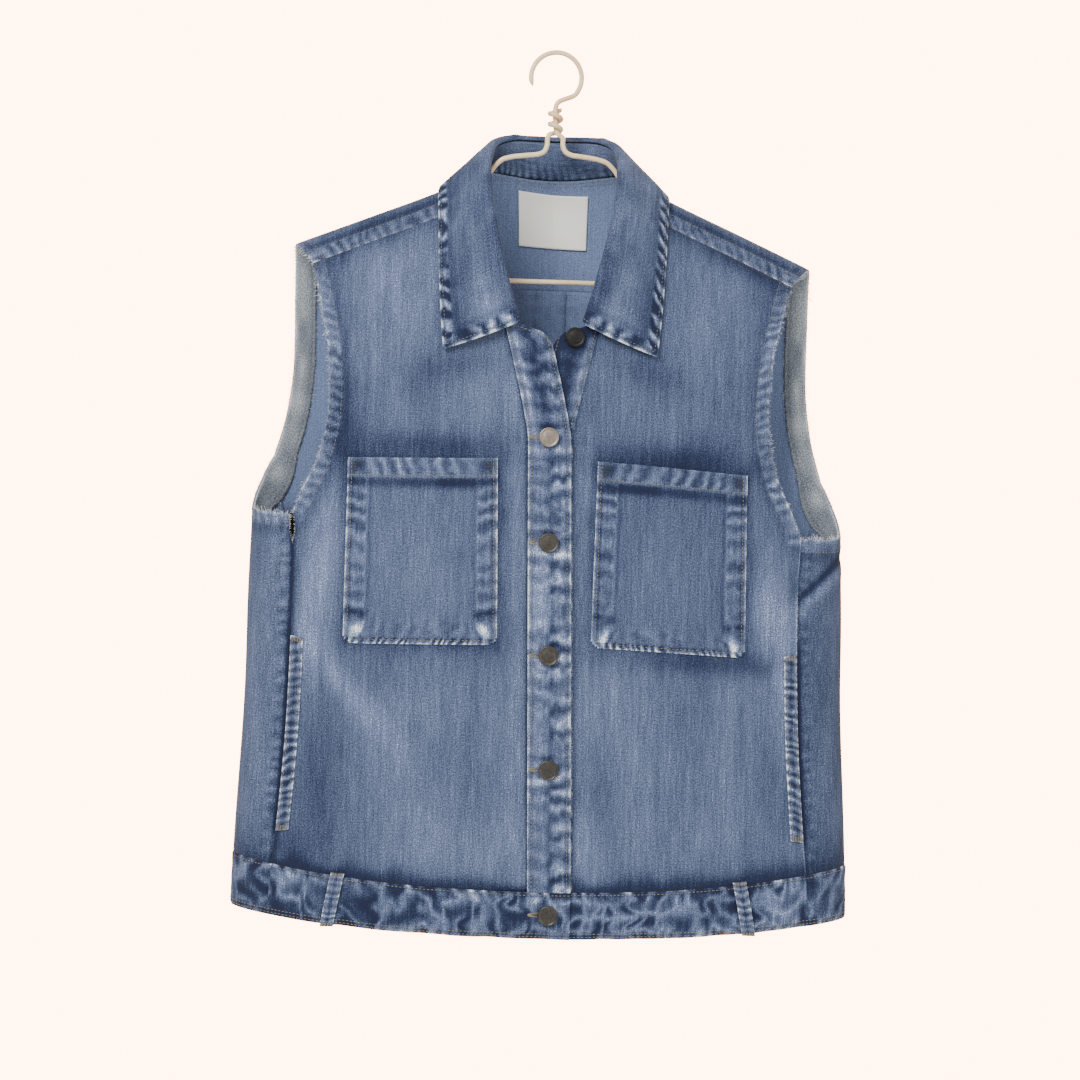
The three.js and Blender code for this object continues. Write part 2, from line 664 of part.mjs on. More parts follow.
function armholeStations(sign) {
  const stations = [];
  const front = along(FRONT_ARMHOLE, ROWS_ARM);
  const back = along(BACK_ARMHOLE, ROWS_BACK_ARM);
  const frontAt = (k) => ({ at: chart.front, edge: [sign * front[k][0], front[k][1]], inside: inset(front, k, sign) });
  const backAt = (k) => ({ at: chart.back, edge: [sign * back[k][0], back[k][1]], inside: inset(back, k, sign) });
  // Behind the fold the strip lies sideways from the armhole, in front of it downwards.
  const sideAt = (u) => {
    const [angle, z] = underarm(u);
    const [step, at] = [0.02, chart.side(sign)];
    const perAngle = at(angle + step, z).distanceTo(at(angle - step, z)) / (2 * step);
    const back = clamp01((u - 0.1) / 0.4);
    const inside = [angle + (back * FACING.width) / perAngle, z - FACING.width * (1 - 0.35 * back)];
    return { at, edge: [angle, z], inside, turnOut: (_, a, b) => sideFacing(sign, a, b) };
  };
  const yokeAt = (w) => {
    const x = read(SHOULDER_END, "w", "x", w);
    return { at: chart.yoke, edge: [sign * x, w], inside: [sign * (x - FACING.width), w] };
  };
  const frontTopW = -(FRONT_YOKE + ridgeExtra);
  const backTopW = overRidge(227.5, BACK_ARMHOLE[BACK_ARMHOLE.length - 1].z);
  const [seamTop, seamLow] = [FRONT_ARMHOLE[0].z, FRONT_ARMHOLE[0].z - FACING.width];
  const apart = EDGE_GAP + ripX(sign, seamTop);
  const frontEnd = [seamTop, seamLow].map((z) => [sign * (frontSeamX(z) - apart), z]);
  const sideEnd = [seamTop, seamLow].map((z) => [-sideAngle(frontSeamX(z) + apart, z), z]);
  stations.push([{ at: chart.front, edge: frontEnd[0], inside: frontEnd[1] }]);
  for (let k = 1; k < ROWS_ARM; k++) stations.push([frontAt(k)]);
  stations.push([frontAt(ROWS_ARM), yokeAt(frontTopW)]);
  for (const w of [-20, -12, -7, -3.5, 0, 3.5, 7, 12, 25, 40]) stations.push([yokeAt(w)]);
  stations.push([yokeAt(backTopW), backAt(ROWS_BACK_ARM)]);
  for (let k = ROWS_BACK_ARM - 1; k > 0; k--) stations.push([backAt(k)]);
  stations.push([backAt(0), sideAt(1)]);
  for (let k = SIDE_COLS - 1; k > 0; k--) stations.push([sideAt(k / SIDE_COLS)]);
  stations.push([{ ...sideAt(0), edge: sideEnd[0], inside: sideEnd[1] }]);
  return stations;
}

function armholeFacing(sign) {
  const stations = armholeStations(sign);
  const across = 2;
  return wall(across, stations.length - 1, (i, j) => facingStation(stations[j], lerp(0.02, 1, i / across)));
}

const COLLAR_STEPS = 16; // stations from the centre back to one front end
const LEAF_ROWS = 9;
const ROLL_ROWS = 4; // of those, the ones round the roll
const mirrored = (p) => new THREE.Vector3(-p.x, p.y, p.z);
// A smooth curve through the points and, on the other side of the centre back, their mirrored ones.
function spaceCurve(points) {
  const others = points.slice(1).reverse().map(mirrored);
  return new THREE.CatmullRomCurve3([...others, ...points], false, "centripetal");
}
const neckCurve = spaceCurve(
  NECK_SEAM.map(({ side, x, z }) => (side > 0 ? chart.back(x, z) : chart.front(x, z))),
);
const rollCurve = spaceCurve(COLLAR.map((r) => new THREE.Vector3(r.rx, r.ry, r.rz)));
const edgeCurve = spaceCurve(COLLAR.map((r) => layer(chart.yoke, r.ex, r.w, 0, r.lift).out));

// The collar's section at step k, which is negative on the wearer's right.
// The stand's top is where the leaf starts; out points from the stand to the falling leaf.
function collarStation(k) {
  const t = clamp01(0.5 + k / COLLAR_STEPS / 2);
  const [neck, roll, edge] = [neckCurve, rollCurve, edgeCurve].map((c) => c.getPoint(t));
  const up = roll.clone().sub(neck).normalize();
  const out = edge.clone().sub(roll);
  out.addScaledVector(up, -out.dot(up)).normalize();
  const top = roll.clone().addScaledVector(up, -ROLL - 1).addScaledVector(out, -ROLL);
  const fall = edge.clone().sub(roll);
  const turn = Math.atan2(fall.dot(out), fall.dot(up)) - 0.14;
  return { neck, top, edge, up, out, turn };
}

// Faces of a thin wall whose middle line is line(i, j), by its two directions.
function aboutMiddle(line, i, j, thick) {
  const step = 0.2;
  const along = line(i, j + step).sub(line(i, j - step));
  const across = line(i + step, j).sub(line(i - step, j));
  const n = along.cross(across).normalize().multiplyScalar(thick / 2);
  const p = line(i, j);
  return { out: p.clone().add(n), in: p.clone().sub(n) };
}

function collarStand() {
  const rows = 3;
  const line = (i, j) => {
    const s = collarStation(j - COLLAR_STEPS);
    const tall = s.top.distanceTo(s.neck);
    return s.neck.clone().lerp(s.top, lerp(0.8 / tall, 1 - GAP / tall, i / rows));
  };
  return wall(rows, 2 * COLLAR_STEPS, (i, j) => aboutMiddle(line, i, j, DOUBLE - 0.3));
}

function collarLeaf() {
  const line = (i, j) => {
    const s = collarStation(j - COLLAR_STEPS);
    const from = (p, up, out) => p.clone().addScaledVector(s.up, up).addScaledVector(s.out, out);
    const round = (angle) => from(s.top, 1 + ROLL * Math.sin(angle), ROLL * (1 - Math.cos(angle)));
    if (i < ROLL_ROWS) return round((s.turn * i) / ROLL_ROWS);
    const start = round(s.turn);
    const reach = 0.4 * start.distanceTo(s.edge);
    const knee = from(start, reach * Math.cos(s.turn), reach * Math.sin(s.turn));
    const curve = new THREE.QuadraticBezierCurve3(start, knee, s.edge);
    return curve.getPoint((i - ROLL_ROWS) / (LEAF_ROWS - ROLL_ROWS));
  };
  return wall(LEAF_ROWS, 2 * COLLAR_STEPS, (i, j) => aboutMiddle(line, i, j, DOUBLE - 0.1));
}

// A four-cornered piece lying on the front: corners are [x, z], rows run up it.
function patchOnFront(corners, rowShares, cols, low, high) {
  const [bottomIn, bottomOut, topIn, topOut] = corners;
  return wall(rowShares.length - 1, cols, (i, j) => {
    const v = rowShares[i];
    const u = j / cols;
    const [x, z] = [0, 1].map((k) =>
      lerp(lerp(bottomIn[k], bottomOut[k], u), lerp(topIn[k], topOut[k], u), v),
    );
    return layer(chart.front, x, z, low(v), high(v));
  });
}

function chestPocket(sign) {
  const flip = ([x, z]) => [sign * x, z];
  const tall = POCKET.topIn[1] - POCKET.bottomIn[1];
  const fold = 1 - POCKET.hem / tall;
  const rows = [0, 0.15, 0.3, 0.45, 0.6, 0.75, fold - 0.01, fold, 1];
  const high = (v) => GAP + CLOTH + (v >= fold ? 0.8 : 0);
  const corners = [POCKET.bottomIn, POCKET.bottomOut, POCKET.topIn, POCKET.topOut].map(flip);
  return patchOnFront(corners, rows, 7, () => GAP, high);
}

function pocketWelt(sign) {
  const outer = (z) => frontSeamX(z) - 0.6;
  const { width, top, bottom } = WELT;
  const corners = [
    [outer(bottom) - width, bottom + 1.5],
    [outer(bottom), bottom],
    [outer(top) - width, top - 1.5],
    [outer(top), top],
  ].map(([x, z]) => [sign * x, z]);
  return patchOnFront(corners, range(9), 2, () => GAP, () => GAP + 1.8);
}

function beltLoop(sign) {
  const { top, bottom, width, bow } = LOOP;
  const base = BAND.high + GAP;
  const lift = (v) => base + bow * Math.sin(Math.PI * v) ** 0.7;
  const corners = [
    [bottom[0] - width / 2, bottom[1] + 0.6],
    [bottom[0] + width / 2, bottom[1]],
    [top[0] - width / 2, top[1] - 0.8],
    [top[0] + width / 2, top[1]],
  ].map(([x, z]) => [sign * x, z]);
  return patchOnFront(corners, range(6), 2, lift, (v) => lift(v) + 1.5);
}

function neckLabel() {
  const cols = 4;
  const rows = 3;
  const onEdge = (edge, t) => edge[0].map((value, k) => lerp(value, edge[1][k], t));
  return wall(rows, cols, (i, j) => {
    const [below, above] = [onEdge(LABEL.bottom, j / cols), onEdge(LABEL.top, j / cols)];
    const [x, z] = below.map((value, k) => lerp(value, above[k], i / rows));
    const high = -CLOTH - 0.8;
    return layer(chart.back, x, z, high - 1, high);
  });
}

// A domed metal button with a raised rim, standing on the front at height z.
function button(x, z, base) {
  const { radius, rim, height, foot } = BUTTON;
  const outline = [
    [0, 0],
    [foot, 0],
    [foot + 0.6, 0.9],
    [radius - 0.4, 1.1],
    [radius, 1.9],
    [radius - 0.3, height - 0.3],
    [radius - rim * 0.6, height],
    [radius - rim, height - 0.5],
    [radius * 0.5, height - 0.2],
    [0, height - 0.1],
  ].map(([r, h]) => new THREE.Vector2(r, h));
  const geometry = new THREE.LatheGeometry(outline, 18);
  const p = chart.front(x, z);
  const n = facing(chart.front, x, z, p);
  const turn = new THREE.Quaternion().setFromUnitVectors(new THREE.Vector3(0, 1, 0), n);
  geometry.applyQuaternion(turn);
  const seat = p.addScaledVector(n, base);
  geometry.translate(seat.x, seat.y, seat.z);
  return geometry;
}

// The hanger is one wire: it starts in the twist, runs out over one shoulder, back along the
// bar, over the other shoulder and up the neck into the hook.
function hangerPath() {
  const clear = (CLOTH + GAP + WIRE) * 1.15 + 0.9;
  const onShoulder = [64, 74, 100, 130, 165, 184].map((x) => [x, shoulderZ(x) - clear]);
  const neck = [[6.6, -73], [7, -80], [9.5, -85.4], [15, -87.9], [24, -89], [38, -91], [46, -93.6]];
  const half = [...neck, [52.5, -99.5], [57, -105.5], ...onShoulder];
  const end = [[195.5, -172], [202, -180], [201.5, -190], [193, -199.3]];
  const at = ([x, z], sign) => new THREE.Vector3(sign * x, 0, z);
  const rightToLeft = [...half, ...end].map((p) => at(p, -1));
  const leftToRight = [...half, ...end].map((p) => at(p, 1)).reverse();
  const bar = [-178, -95, 0, 95, 178].map((x) => new THREE.Vector3(x, 0, BAR_Z));
  const wrap = 2 * WIRE + 0.5;
  const turnsAt = (t) => {
    const angle = Math.PI * (1 - 2 * TWIST.turns * t);
    return new THREE.Vector3(Math.cos(angle) * wrap, Math.sin(angle) * wrap, lerp(TWIST.bottom, TWIST.top, t));
  };
  const twist = range(20).reverse().map(turnsAt);
    const neckOther = [new THREE.Vector3(1.6, 0, -68.5), new THREE.Vector3(0, 0, -61)];
  const hookCentre = new THREE.Vector3(0, 0, -HOOK.radius);
  const shank = [new THREE.Vector3(0, 0, HOOK.bottom), new THREE.Vector3(2.2, 0, HOOK.bottom + 4.5)];
  const arc = range(16).map((t) => {
    const angle = rad(lerp(-42, HOOK.mouth, t));
    const r = HOOK.radius + WIRE;
    return new THREE.Vector3(Math.cos(angle) * r, 0, hookCentre.z + Math.sin(angle) * r);
  });
  return [...twist, ...rightToLeft, ...bar, ...leftToRight, ...neckOther, ...shank, ...arc];
}

// A closed round rod through the points.
function rod(points, radius, sides) {
  const last = points.length - 1;
  const positions = [];
  let across = new THREE.Vector3(0, 0, 1);
  points.forEach((p, k) => {
    const heading = points[Math.min(k + 1, last)].clone().sub(points[Math.max(k - 1, 0)]).normalize();
    across = across.clone().addScaledVector(heading, -across.dot(heading)).normalize();
    const other = heading.clone().cross(across);
    for (let s = 0; s < sides; s++) {
      const angle = (2 * Math.PI * s) / sides;
      const q = p.clone().addScaledVector(across, radius * Math.cos(angle)).addScaledVector(other, radius * Math.sin(angle));
      positions.push(q.x, q.y, q.z);
    }
  });
  const faces = [];
  const vertex = (k, s) => k * sides + (s % sides);
  for (let k = 0; k < last; k++) {
    for (let s = 0; s < sides; s++) {
      faces.push(vertex(k, s), vertex(k, s + 1), vertex(k + 1, s + 1));
      faces.push(vertex(k, s), vertex(k + 1, s + 1), vertex(k + 1, s));
    }
  }
  for (let s = 1; s < sides - 1; s++) {
    faces.push(vertex(0, 0), vertex(0, s + 1), vertex(0, s));
    faces.push(vertex(last, 0), vertex(last, s), vertex(last, s + 1));
  }
  const geometry = new THREE.BufferGeometry();
  geometry.setAttribute("position", new THREE.Float32BufferAttribute(positions, 3));
  geometry.setIndex(faces);
  return facingOut(geometry);
}

function hanger() {
  const path = new THREE.CatmullRomCurve3(hangerPath(), false, "centripetal");
  return rod(path.getPoints(150), WIRE, 8);
}

const denim = () => new THREE.MeshStandardMaterial({ color: 0x6d7f9e, roughness: 0.92, metalness: 0 });
const denimBand = () => new THREE.MeshStandardMaterial({ color: 0x76859e, roughness: 0.92, metalness: 0 });
const wrongSide = () => new THREE.MeshStandardMaterial({ color: 0x8a95a4, roughness: 0.95, metalness: 0 });
const satin = () => new THREE.MeshStandardMaterial({ color: 0xd2d3cc, roughness: 0.7, metalness: 0 });
const metal = () => new THREE.MeshStandardMaterial({ color: 0x6e6a60, roughness: 0.38, metalness: 0.9 });
const lacquer = () => new THREE.MeshStandardMaterial({ color: 0xd6c3ac, roughness: 0.35, metalness: 0.2 });

const vest = new THREE.Group();

// The vest hangs askew: toward the arms the wearer's right side is raised and the left side dropped,
// all of it at the shoulders and none of it at the hem.
function hungAskew(geometry) {
  const places = geometry.getAttribute("position");
  for (let k = 0; k < places.count; k++) {
    const x = places.getX(k);
    const z = places.getZ(k);
    const share = clamp01((z - ASKEW.from) / (ASKEW.whole - ASKEW.from));
    const eased = share * share * (3 - 2 * share);
    places.setZ(k, z - ASKEW.rise * eased * Math.sign(x) * Math.abs(x / ASKEW.halfWidth) ** 1.5);
  }
}

function add(name, geometry, material) {
  hungAskew(geometry);
  const mesh = new THREE.Mesh(geometry, material);
  mesh.name = name;
  vest.add(mesh);
}

for (const [sign, hand] of [[-1, "right"], [1, "left"]]) {
  add(`front_${hand}`, frontPanel(sign), denim());
  add(`side_${hand}`, sidePanel(sign), denim());
  add(`back_${hand}`, backPanel(sign), denim());
  add(`waistband_front_${hand}`, waistbandFront(sign), denimBand());
  add(`armhole_facing_${hand}`, armholeFacing(sign), wrongSide());
  add(`chest_pocket_${hand}`, chestPocket(sign), denim());
  add(`pocket_welt_${hand}`, pocketWelt(sign), denimBand());
  add(`belt_loop_${hand}`, beltLoop(sign), denimBand());
}
add("yoke", yoke(), denim());
add("waistband_back", waistbandBack(), denimBand());
add("placket_over", placket(true), denimBand());
add("placket_under", placket(false), denimBand());
add("collar_stand", collarStand(), denim());
add("collar_leaf", collarLeaf(), denim());
add("neck_label", neckLabel(), satin());
BUTTON_Z.forEach((z, k) => {
  const onBand = z < WAIST.front;
  const base = onBand ? BAND.high + bandLift(true, 0) + GAP : 2 * GAP + DOUBLE;
  add(`button_${k + 1}`, button(centreX(z) - 0.5, z, base), metal());
});
add("button_top", button(TOP_BUTTON.x, TOP_BUTTON.z, 0.1), metal());
add("hanger_wire", hanger(), lacquer());

export default vest;
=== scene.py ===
"""Looks of a sleeveless denim vest that hangs on a bent wire hanger.

Lengths are in millimetres on the cloth and become metres in the meshes. The wearer's left is +x,
the front looks along -y, and the origin is the inside top of the hanger's hook.
"""

import logging
import math
from dataclasses import dataclass, field
from enum import Enum
from typing import Callable

import bpy
import numpy as np
from mathutils import Matrix


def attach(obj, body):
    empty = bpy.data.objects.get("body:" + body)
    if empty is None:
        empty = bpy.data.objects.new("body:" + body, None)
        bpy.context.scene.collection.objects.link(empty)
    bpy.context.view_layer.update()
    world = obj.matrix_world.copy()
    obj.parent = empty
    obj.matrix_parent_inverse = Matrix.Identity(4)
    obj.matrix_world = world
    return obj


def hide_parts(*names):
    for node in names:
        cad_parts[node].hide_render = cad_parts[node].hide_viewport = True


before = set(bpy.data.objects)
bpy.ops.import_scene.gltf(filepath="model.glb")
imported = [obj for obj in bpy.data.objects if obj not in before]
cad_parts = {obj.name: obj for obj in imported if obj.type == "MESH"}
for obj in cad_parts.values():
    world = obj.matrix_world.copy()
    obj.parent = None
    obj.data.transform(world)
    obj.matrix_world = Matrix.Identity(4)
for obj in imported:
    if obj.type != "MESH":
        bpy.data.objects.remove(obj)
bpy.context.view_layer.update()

log = logging.getLogger("vest")
MM = 0.001
Array = np.ndarray
Chart = Callable[[Array, Array], Array]

CLOTH = 1.3
DOUBLE = 2.3
GAP = 0.3
EDGE_GAP = 0.02
ASKEW_RISE = 6.5
ASKEW_WIDTH = 230.0
ASKEW_FROM, ASKEW_WHOLE = -650.0, -430.0
RIDGE = 6.0
RIDGE_EXTRA = (math.pi / 2 - 1) * RIDGE
SIDE_POWER = 2.5
SHOULDER_FALL = 60.0
NECK_X = 62.0
SHOULDER_X = 227.5


def unit(v: Array) -> Array:
    """Vectors scaled to length one."""
    return v / np.maximum(np.linalg.norm(v, axis=-1, keepdims=True), 1e-12)


def mix(a: Array | float, b: Array | float, t: Array | float) -> Array:
    """The value a share t of the way from a to b."""
    return a + (b - a) * t


def bump(value: Array, width: float) -> Array:
    """A bell of height one round zero."""
    return np.exp(-((value / width) ** 2))


def fading(distance: Array, reach: float) -> Array:
    """One at a line, and less with each reach away from it."""
    return np.exp(-np.maximum(distance, 0) / reach)


def smooth(value: Array, low: float, high: float) -> Array:
    """A soft step from 0 at low to 1 at high."""
    t = np.clip((value - low) / (high - low), 0, 1)
    return t * t * (3 - 2 * t)


class SmoothTable:
    """A smooth curve through the rows of a short table."""

    def __init__(self, rows: list[tuple[float, float]]) -> None:
        """Args: rows: pairs of place and value."""
        rows = sorted(rows)
        self.at = np.array([r[0] for r in rows], float)
        self.value = np.array([r[1] for r in rows], float)
        low = np.maximum(np.arange(len(rows)) - 1, 0)
        high = np.minimum(np.arange(len(rows)) + 1, len(rows) - 1)
        self.slope = (self.value[high] - self.value[low]) / (self.at[high] - self.at[low])

    def __call__(self, where: Array | float) -> Array:
        """The curve's value at each place; it is held at both ends."""
        where = np.asarray(where, float)
        i = np.searchsorted(self.at[1:-1], where)
        span = self.at[i + 1] - self.at[i]
        t = np.clip((where - self.at[i]) / span, 0, 1)
        t2, t3 = t * t, t * t * t
        return (
            (2 * t3 - 3 * t2 + 1) * self.value[i]
            + (t3 - 2 * t2 + t) * self.slope[i] * span
            + (3 * t2 - 2 * t3) * self.value[i + 1]
            + (t3 - t2) * self.slope[i + 1] * span
        )


class Noise:
    """Soft value noise from a fixed seed, between -1 and 1."""

    SIZE = 64

    def __init__(self, seed: int) -> None:
        """Args: seed: picks the pattern."""
        self.grid = np.random.default_rng(seed).uniform(-1, 1, (self.SIZE, self.SIZE))

    def __call__(self, x: Array, y: Array | float = 0.0) -> Array:
        """The noise at places given in cells."""
        x, y = np.broadcast_arrays(np.asarray(x, float), np.asarray(y, float))
        i, j = np.floor(x).astype(int), np.floor(y).astype(int)
        u, v = x - i, y - j
        u, v = u * u * (3 - 2 * u), v * v * (3 - 2 * v)
        n = self.SIZE
        a, b = self.grid[i % n, j % n], self.grid[(i + 1) % n, j % n]
        c, d = self.grid[i % n, (j + 1) % n], self.grid[(i + 1) % n, (j + 1) % n]
        return mix(mix(a, b, u), mix(c, d, u), v)


def dense_curve(rows: list[tuple[float, ...]], steps: int = 40) -> Array:
    """Many points along the smooth curve through the rows."""
    p = np.array(rows, float)
    p0 = np.vstack([p[:1], p[:-2]])
    p1, p2 = p[:-1], p[1:]
    p3 = np.vstack([p[2:], p[-1:]])
    t = np.linspace(0, 1, steps, endpoint=False)[None, :, None]
    p0, p1, p2, p3 = (q[:, None, :] for q in (p0, p1, p2, p3))
    v0, v1 = (p2 - p0) / 2, (p3 - p1) / 2
    out = (2 * p1 - 2 * p2 + v0 + v1) * t**3 + (-3 * p1 + 3 * p2 - 2 * v0 - v1) * t**2 + v0 * t + p1
    return np.vstack([out.reshape(-1, p.shape[1]), p[-1:]])


def length_along(points: Array) -> Array:
    """The length passed at each point of a line."""
    return np.concatenate([[0], np.cumsum(np.linalg.norm(np.diff(points, axis=0), axis=1))])


def at_shares(points: Array, shares: Array) -> Array:
    """Points at shares of a line's length."""
    passed = length_along(points)
    return np.stack([np.interp(shares * passed[-1], passed, points[:, k])
                     for k in range(points.shape[1])], 1)


def centripetal(points: Array, t: Array) -> Array:
    """Points of the centripetal curve through the points at t from 0 to 1."""
    p = np.vstack([2 * points[:1] - points[1:2], points, 2 * points[-1:] - points[-2:-1]])
    count = len(points) - 1
    where = np.clip(t, 0, 1) * count
    i = np.minimum(np.floor(where).astype(int), count - 1)
    w = (where - i)[:, None]
    a, b, c, d = p[i], p[i + 1], p[i + 2], p[i + 3]
    gap = lambda m, n: np.maximum(np.linalg.norm(n - m, axis=1, keepdims=True) ** 0.5, 1e-4)
    ab, bc, cd = gap(a, b), gap(b, c), gap(c, d)
    start = ((b - a) / ab - (c - a) / (ab + bc) + (c - b) / bc) * bc
    end = ((c - b) / bc - (d - b) / (bc + cd) + (d - c) / cd) * bc
    return (
        (2 * w**3 - 3 * w**2 + 1) * b + (w**3 - 2 * w**2 + w) * start
        + (3 * w**2 - 2 * w**3) * c + (w**3 - w**2) * end
    )


@dataclass(frozen=True)
class Fold:
    """One soft fold or hollow: where it lies, which way it runs and how high it stands."""

    face: int
    x: float
    z: float
    turn: float
    long: float
    wide: float
    high: float

    def share(self, x: Array, z: Array) -> Array:
        """How strongly the fold is felt at each place, from 0 to 1."""
        c, s = math.cos(math.radians(self.turn)), math.sin(math.radians(self.turn))
        p = ((x - self.x) * c + (z - self.z) * s) / self.long
        q = (-(x - self.x) * s + (z - self.z) * c) / self.wide
        return np.exp(-p * p - q * q)


FRONT, BACK = -1, 1

FOLDS = [
    Fold(FRONT, -186, -528, -52, 60, 15, 3.2),
    Fold(FRONT, -110, -630, -70, 85, 24, -3),
    Fold(FRONT, 128, -625, 78, 90, 26, 3),
    Fold(FRONT, 196, -470, 62, 62, 16, 3),
    Fold(FRONT, -70, -310, 84, 70, 26, -2.2),
    Fold(FRONT, 84, -315, 96, 66, 24, -2.4),
    Fold(FRONT, 240, -440, 50, 30, 7, -4.5),
    Fold(FRONT, 247, -462, 56, 34, 11, 3.2),
    Fold(BACK, -135, -520, 86, 150, 24, 4.5),
    Fold(BACK, -58, -590, 93, 130, 22, -4),
    Fold(BACK, 66, -560, 88, 150, 24, 4),
    Fold(BACK, 150, -600, 84, 110, 20, -3.6),
    Fold(BACK, 168, -400, 62, 80, 18, 3.4),
    Fold(BACK, -172, -390, 118, 74, 18, 3),
]

# Finer creases that the solids leave out.
CREASES = [
    Fold(FRONT, -200, -470, -60, 34, 6, 0.9),
    Fold(FRONT, -168, -548, -50, 46, 7, -1.0),
    Fold(FRONT, -120, -690, -58, 60, 9, 1.0),
    Fold(FRONT, -66, -700, -66, 40, 7, -0.8),
    Fold(FRONT, -212, -640, 82, 60, 8, -1.0),
    Fold(FRONT, -150, -230, 100, 60, 12, 0.9),
    Fold(FRONT, -92, -226, 80, 46, 10, -0.8),
    Fold(FRONT, 150, -235, 74, 56, 12, 0.9),
    Fold(FRONT, 98, -240, 100, 50, 9, -0.7),
    Fold(FRONT, 186, -360, 108, 60, 8, -1.0),
    Fold(FRONT, 205, -510, 66, 52, 7, -1.2),
    Fold(FRONT, 214, -600, 84, 60, 7, 1.0),
    Fold(FRONT, 84, -590, 64, 46, 9, 0.8),
    Fold(FRONT, 60, -680, 108, 44, 8, -0.8),
    Fold(FRONT, 168, -690, 66, 40, 8, 0.9),
    Fold(FRONT, -34, -560, 88, 80, 7, 0.8),
    Fold(FRONT, -30, -310, 80, 50, 7, 0.7),
    Fold(BACK, -100, -300, 80, 60, 9, 1.0),
    Fold(BACK, 90, -320, 104, 70, 10, -1.0),
    Fold(BACK, 0, -420, 90, 90, 9, 0.9),
    Fold(BACK, -190, -560, 74, 60, 8, -1.1),
    Fold(BACK, 196, -520, 104, 66, 8, 1.1),
    Fold(BACK, -110, -690, 62, 40, 8, 0.9),
    Fold(BACK, 30, -700, 104, 36, 7, -0.9),
    Fold(BACK, 120, -680, 70, 40, 8, 0.9),
]


@dataclass(frozen=True)
class SeamLine:
    """A seam that dips from the side folds towards the middle."""

    side: float
    front: float
    back: float
    power: float = 2.2


WAIST = SeamLine(side=-705, front=-728, back=-722)
HEM = SeamLine(side=-751, front=-768, back=-764)


class BodyForm:
    """The hollow form that every panel is bent over, with its sewing charts."""

    NECK_BULGE_HIGH = 21.0
    NECK_BULGE_HALF = 45.0
    NECK_BULGE_FALL = 90.0
    NECK_BULGE_Z = -105.0
    NECK_BULGE_START = 8.0

    def __init__(self) -> None:
        """Sets up the form's tables of height against width and depth."""
        rows = [
            (-790, 270, 50, 43), (-700, 268.5, 52, 45), (-568, 262, 50, 44), (-484, 261, 47, 42),
            (-411, 259, 45, 40), (-300, 259, 42, 38), (-60, 259, 42, 38),
        ]
        self.half = SmoothTable([(z, half) for z, half, _, _ in rows])
        self.full = {
            FRONT: SmoothTable([(z, front) for z, _, front, _ in rows]),
            BACK: SmoothTable([(z, back) for z, _, _, back in rows]),
        }
        self.shoulder = SmoothTable(
            [(0, -80), (40, -91), (62, -103), (97, -122.5), (160, -149.5), (226, -177.5), (275, -199)]
        )

    def shoulder_z(self, x: Array) -> Array:
        """Height of the shoulder line at x."""
        return self.shoulder(np.abs(x))

    def over_ridge(self, x: Array, z: Array) -> Array:
        """Distance over the shoulder ridge of a height z."""
        return self.shoulder_z(x) - z + RIDGE_EXTRA

    def side_angle(self, x: Array, z: Array) -> Array:
        """Angle round the side fold of a place x on the front or back."""
        return np.arccos(np.clip(x / self.half(z), 0, 1) ** (SIDE_POWER / 2))

    def side_x(self, angle: Array, z: Array) -> Array:
        """Distance from the middle of a place on the side fold."""
        return self.half(z) * np.cos(angle) ** (2 / SIDE_POWER)

    def depth(self, face: int, x: Array, z: Array, down: Array | None = None) -> Array:
        """Depth of the cloth's outer face from the mid plane.

        Args:
            face: FRONT or BACK.
            x: distance from the middle.
            z: height.
            down: distance below the shoulder line.

        Returns:
            The depth at each place.
        """
        down = self.shoulder_z(x) - z if down is None else down
        share = np.minimum(np.abs(x) / self.half(z), 1)
        rounding = (1 - share**SIDE_POWER) ** (1 / SIDE_POWER)
        low = np.maximum(down, 0)
        over = RIDGE * np.sqrt(1 - (1 - np.minimum(low / RIDGE, 1)) ** 2)
        total = self.full[face](z) * (1 - np.exp(-low / SHOULDER_FALL)) + over
        if face == BACK:
            near = bump(x, self.NECK_BULGE_HALF) * bump(
                np.minimum(z - self.NECK_BULGE_Z, 0), self.NECK_BULGE_FALL
            )
            total = total + self.NECK_BULGE_HIGH * near * (1 - np.exp(-low / self.NECK_BULGE_START))
        relief = sum(f.high * f.share(x, z) for f in FOLDS + CREASES if f.face == face)
        return rounding * (total + relief * (1 - np.exp(-low / SHOULDER_FALL)))

    def front(self, x: Array, z: Array) -> Array:
        """Points of the front's outer face."""
        return np.stack([x, -self.depth(FRONT, x, z), z], -1)

    def back(self, x: Array, z: Array) -> Array:
        """Points of the back's outer face."""
        return np.stack([x, self.depth(BACK, x, z), z], -1)

    def side(self, sign: int) -> Chart:
        """The chart round one side fold, by angle from the front (negative) to the back."""

        def chart(angle: Array, z: Array) -> Array:
            """Points of the fold's outer face."""
            x = sign * self.side_x(angle, z)
            y = np.where(angle < 0, -self.depth(FRONT, x, z), self.depth(BACK, x, z))
            return np.stack([x, y, z + 0 * x], -1)

        return chart

    def yoke(self, x: Array, w: Array) -> Array:
        """Points over the shoulders; w is the distance over the ridge, negative in front."""
        far = np.abs(w)
        quarter = math.pi / 2 * RIDGE
        down = np.where(far < quarter, RIDGE * (1 - np.cos(np.minimum(far, quarter) / RIDGE)),
                        RIDGE + far - quarter)
        z = self.shoulder_z(x) - down
        y = np.where(w < 0, -self.depth(FRONT, x, z, down), self.depth(BACK, x, z, down))
        return np.stack([x + 0 * w, y, z], -1)


BODY = BodyForm()


def seam_z(line: SeamLine, face: int, x: Array) -> Array:
    """Height of a dipping seam at x."""
    share = 1 - np.minimum(np.abs(x) / BODY.half(line.side), 1) ** line.power
    return line.side + ((line.front if face == FRONT else line.back) - line.side) * share


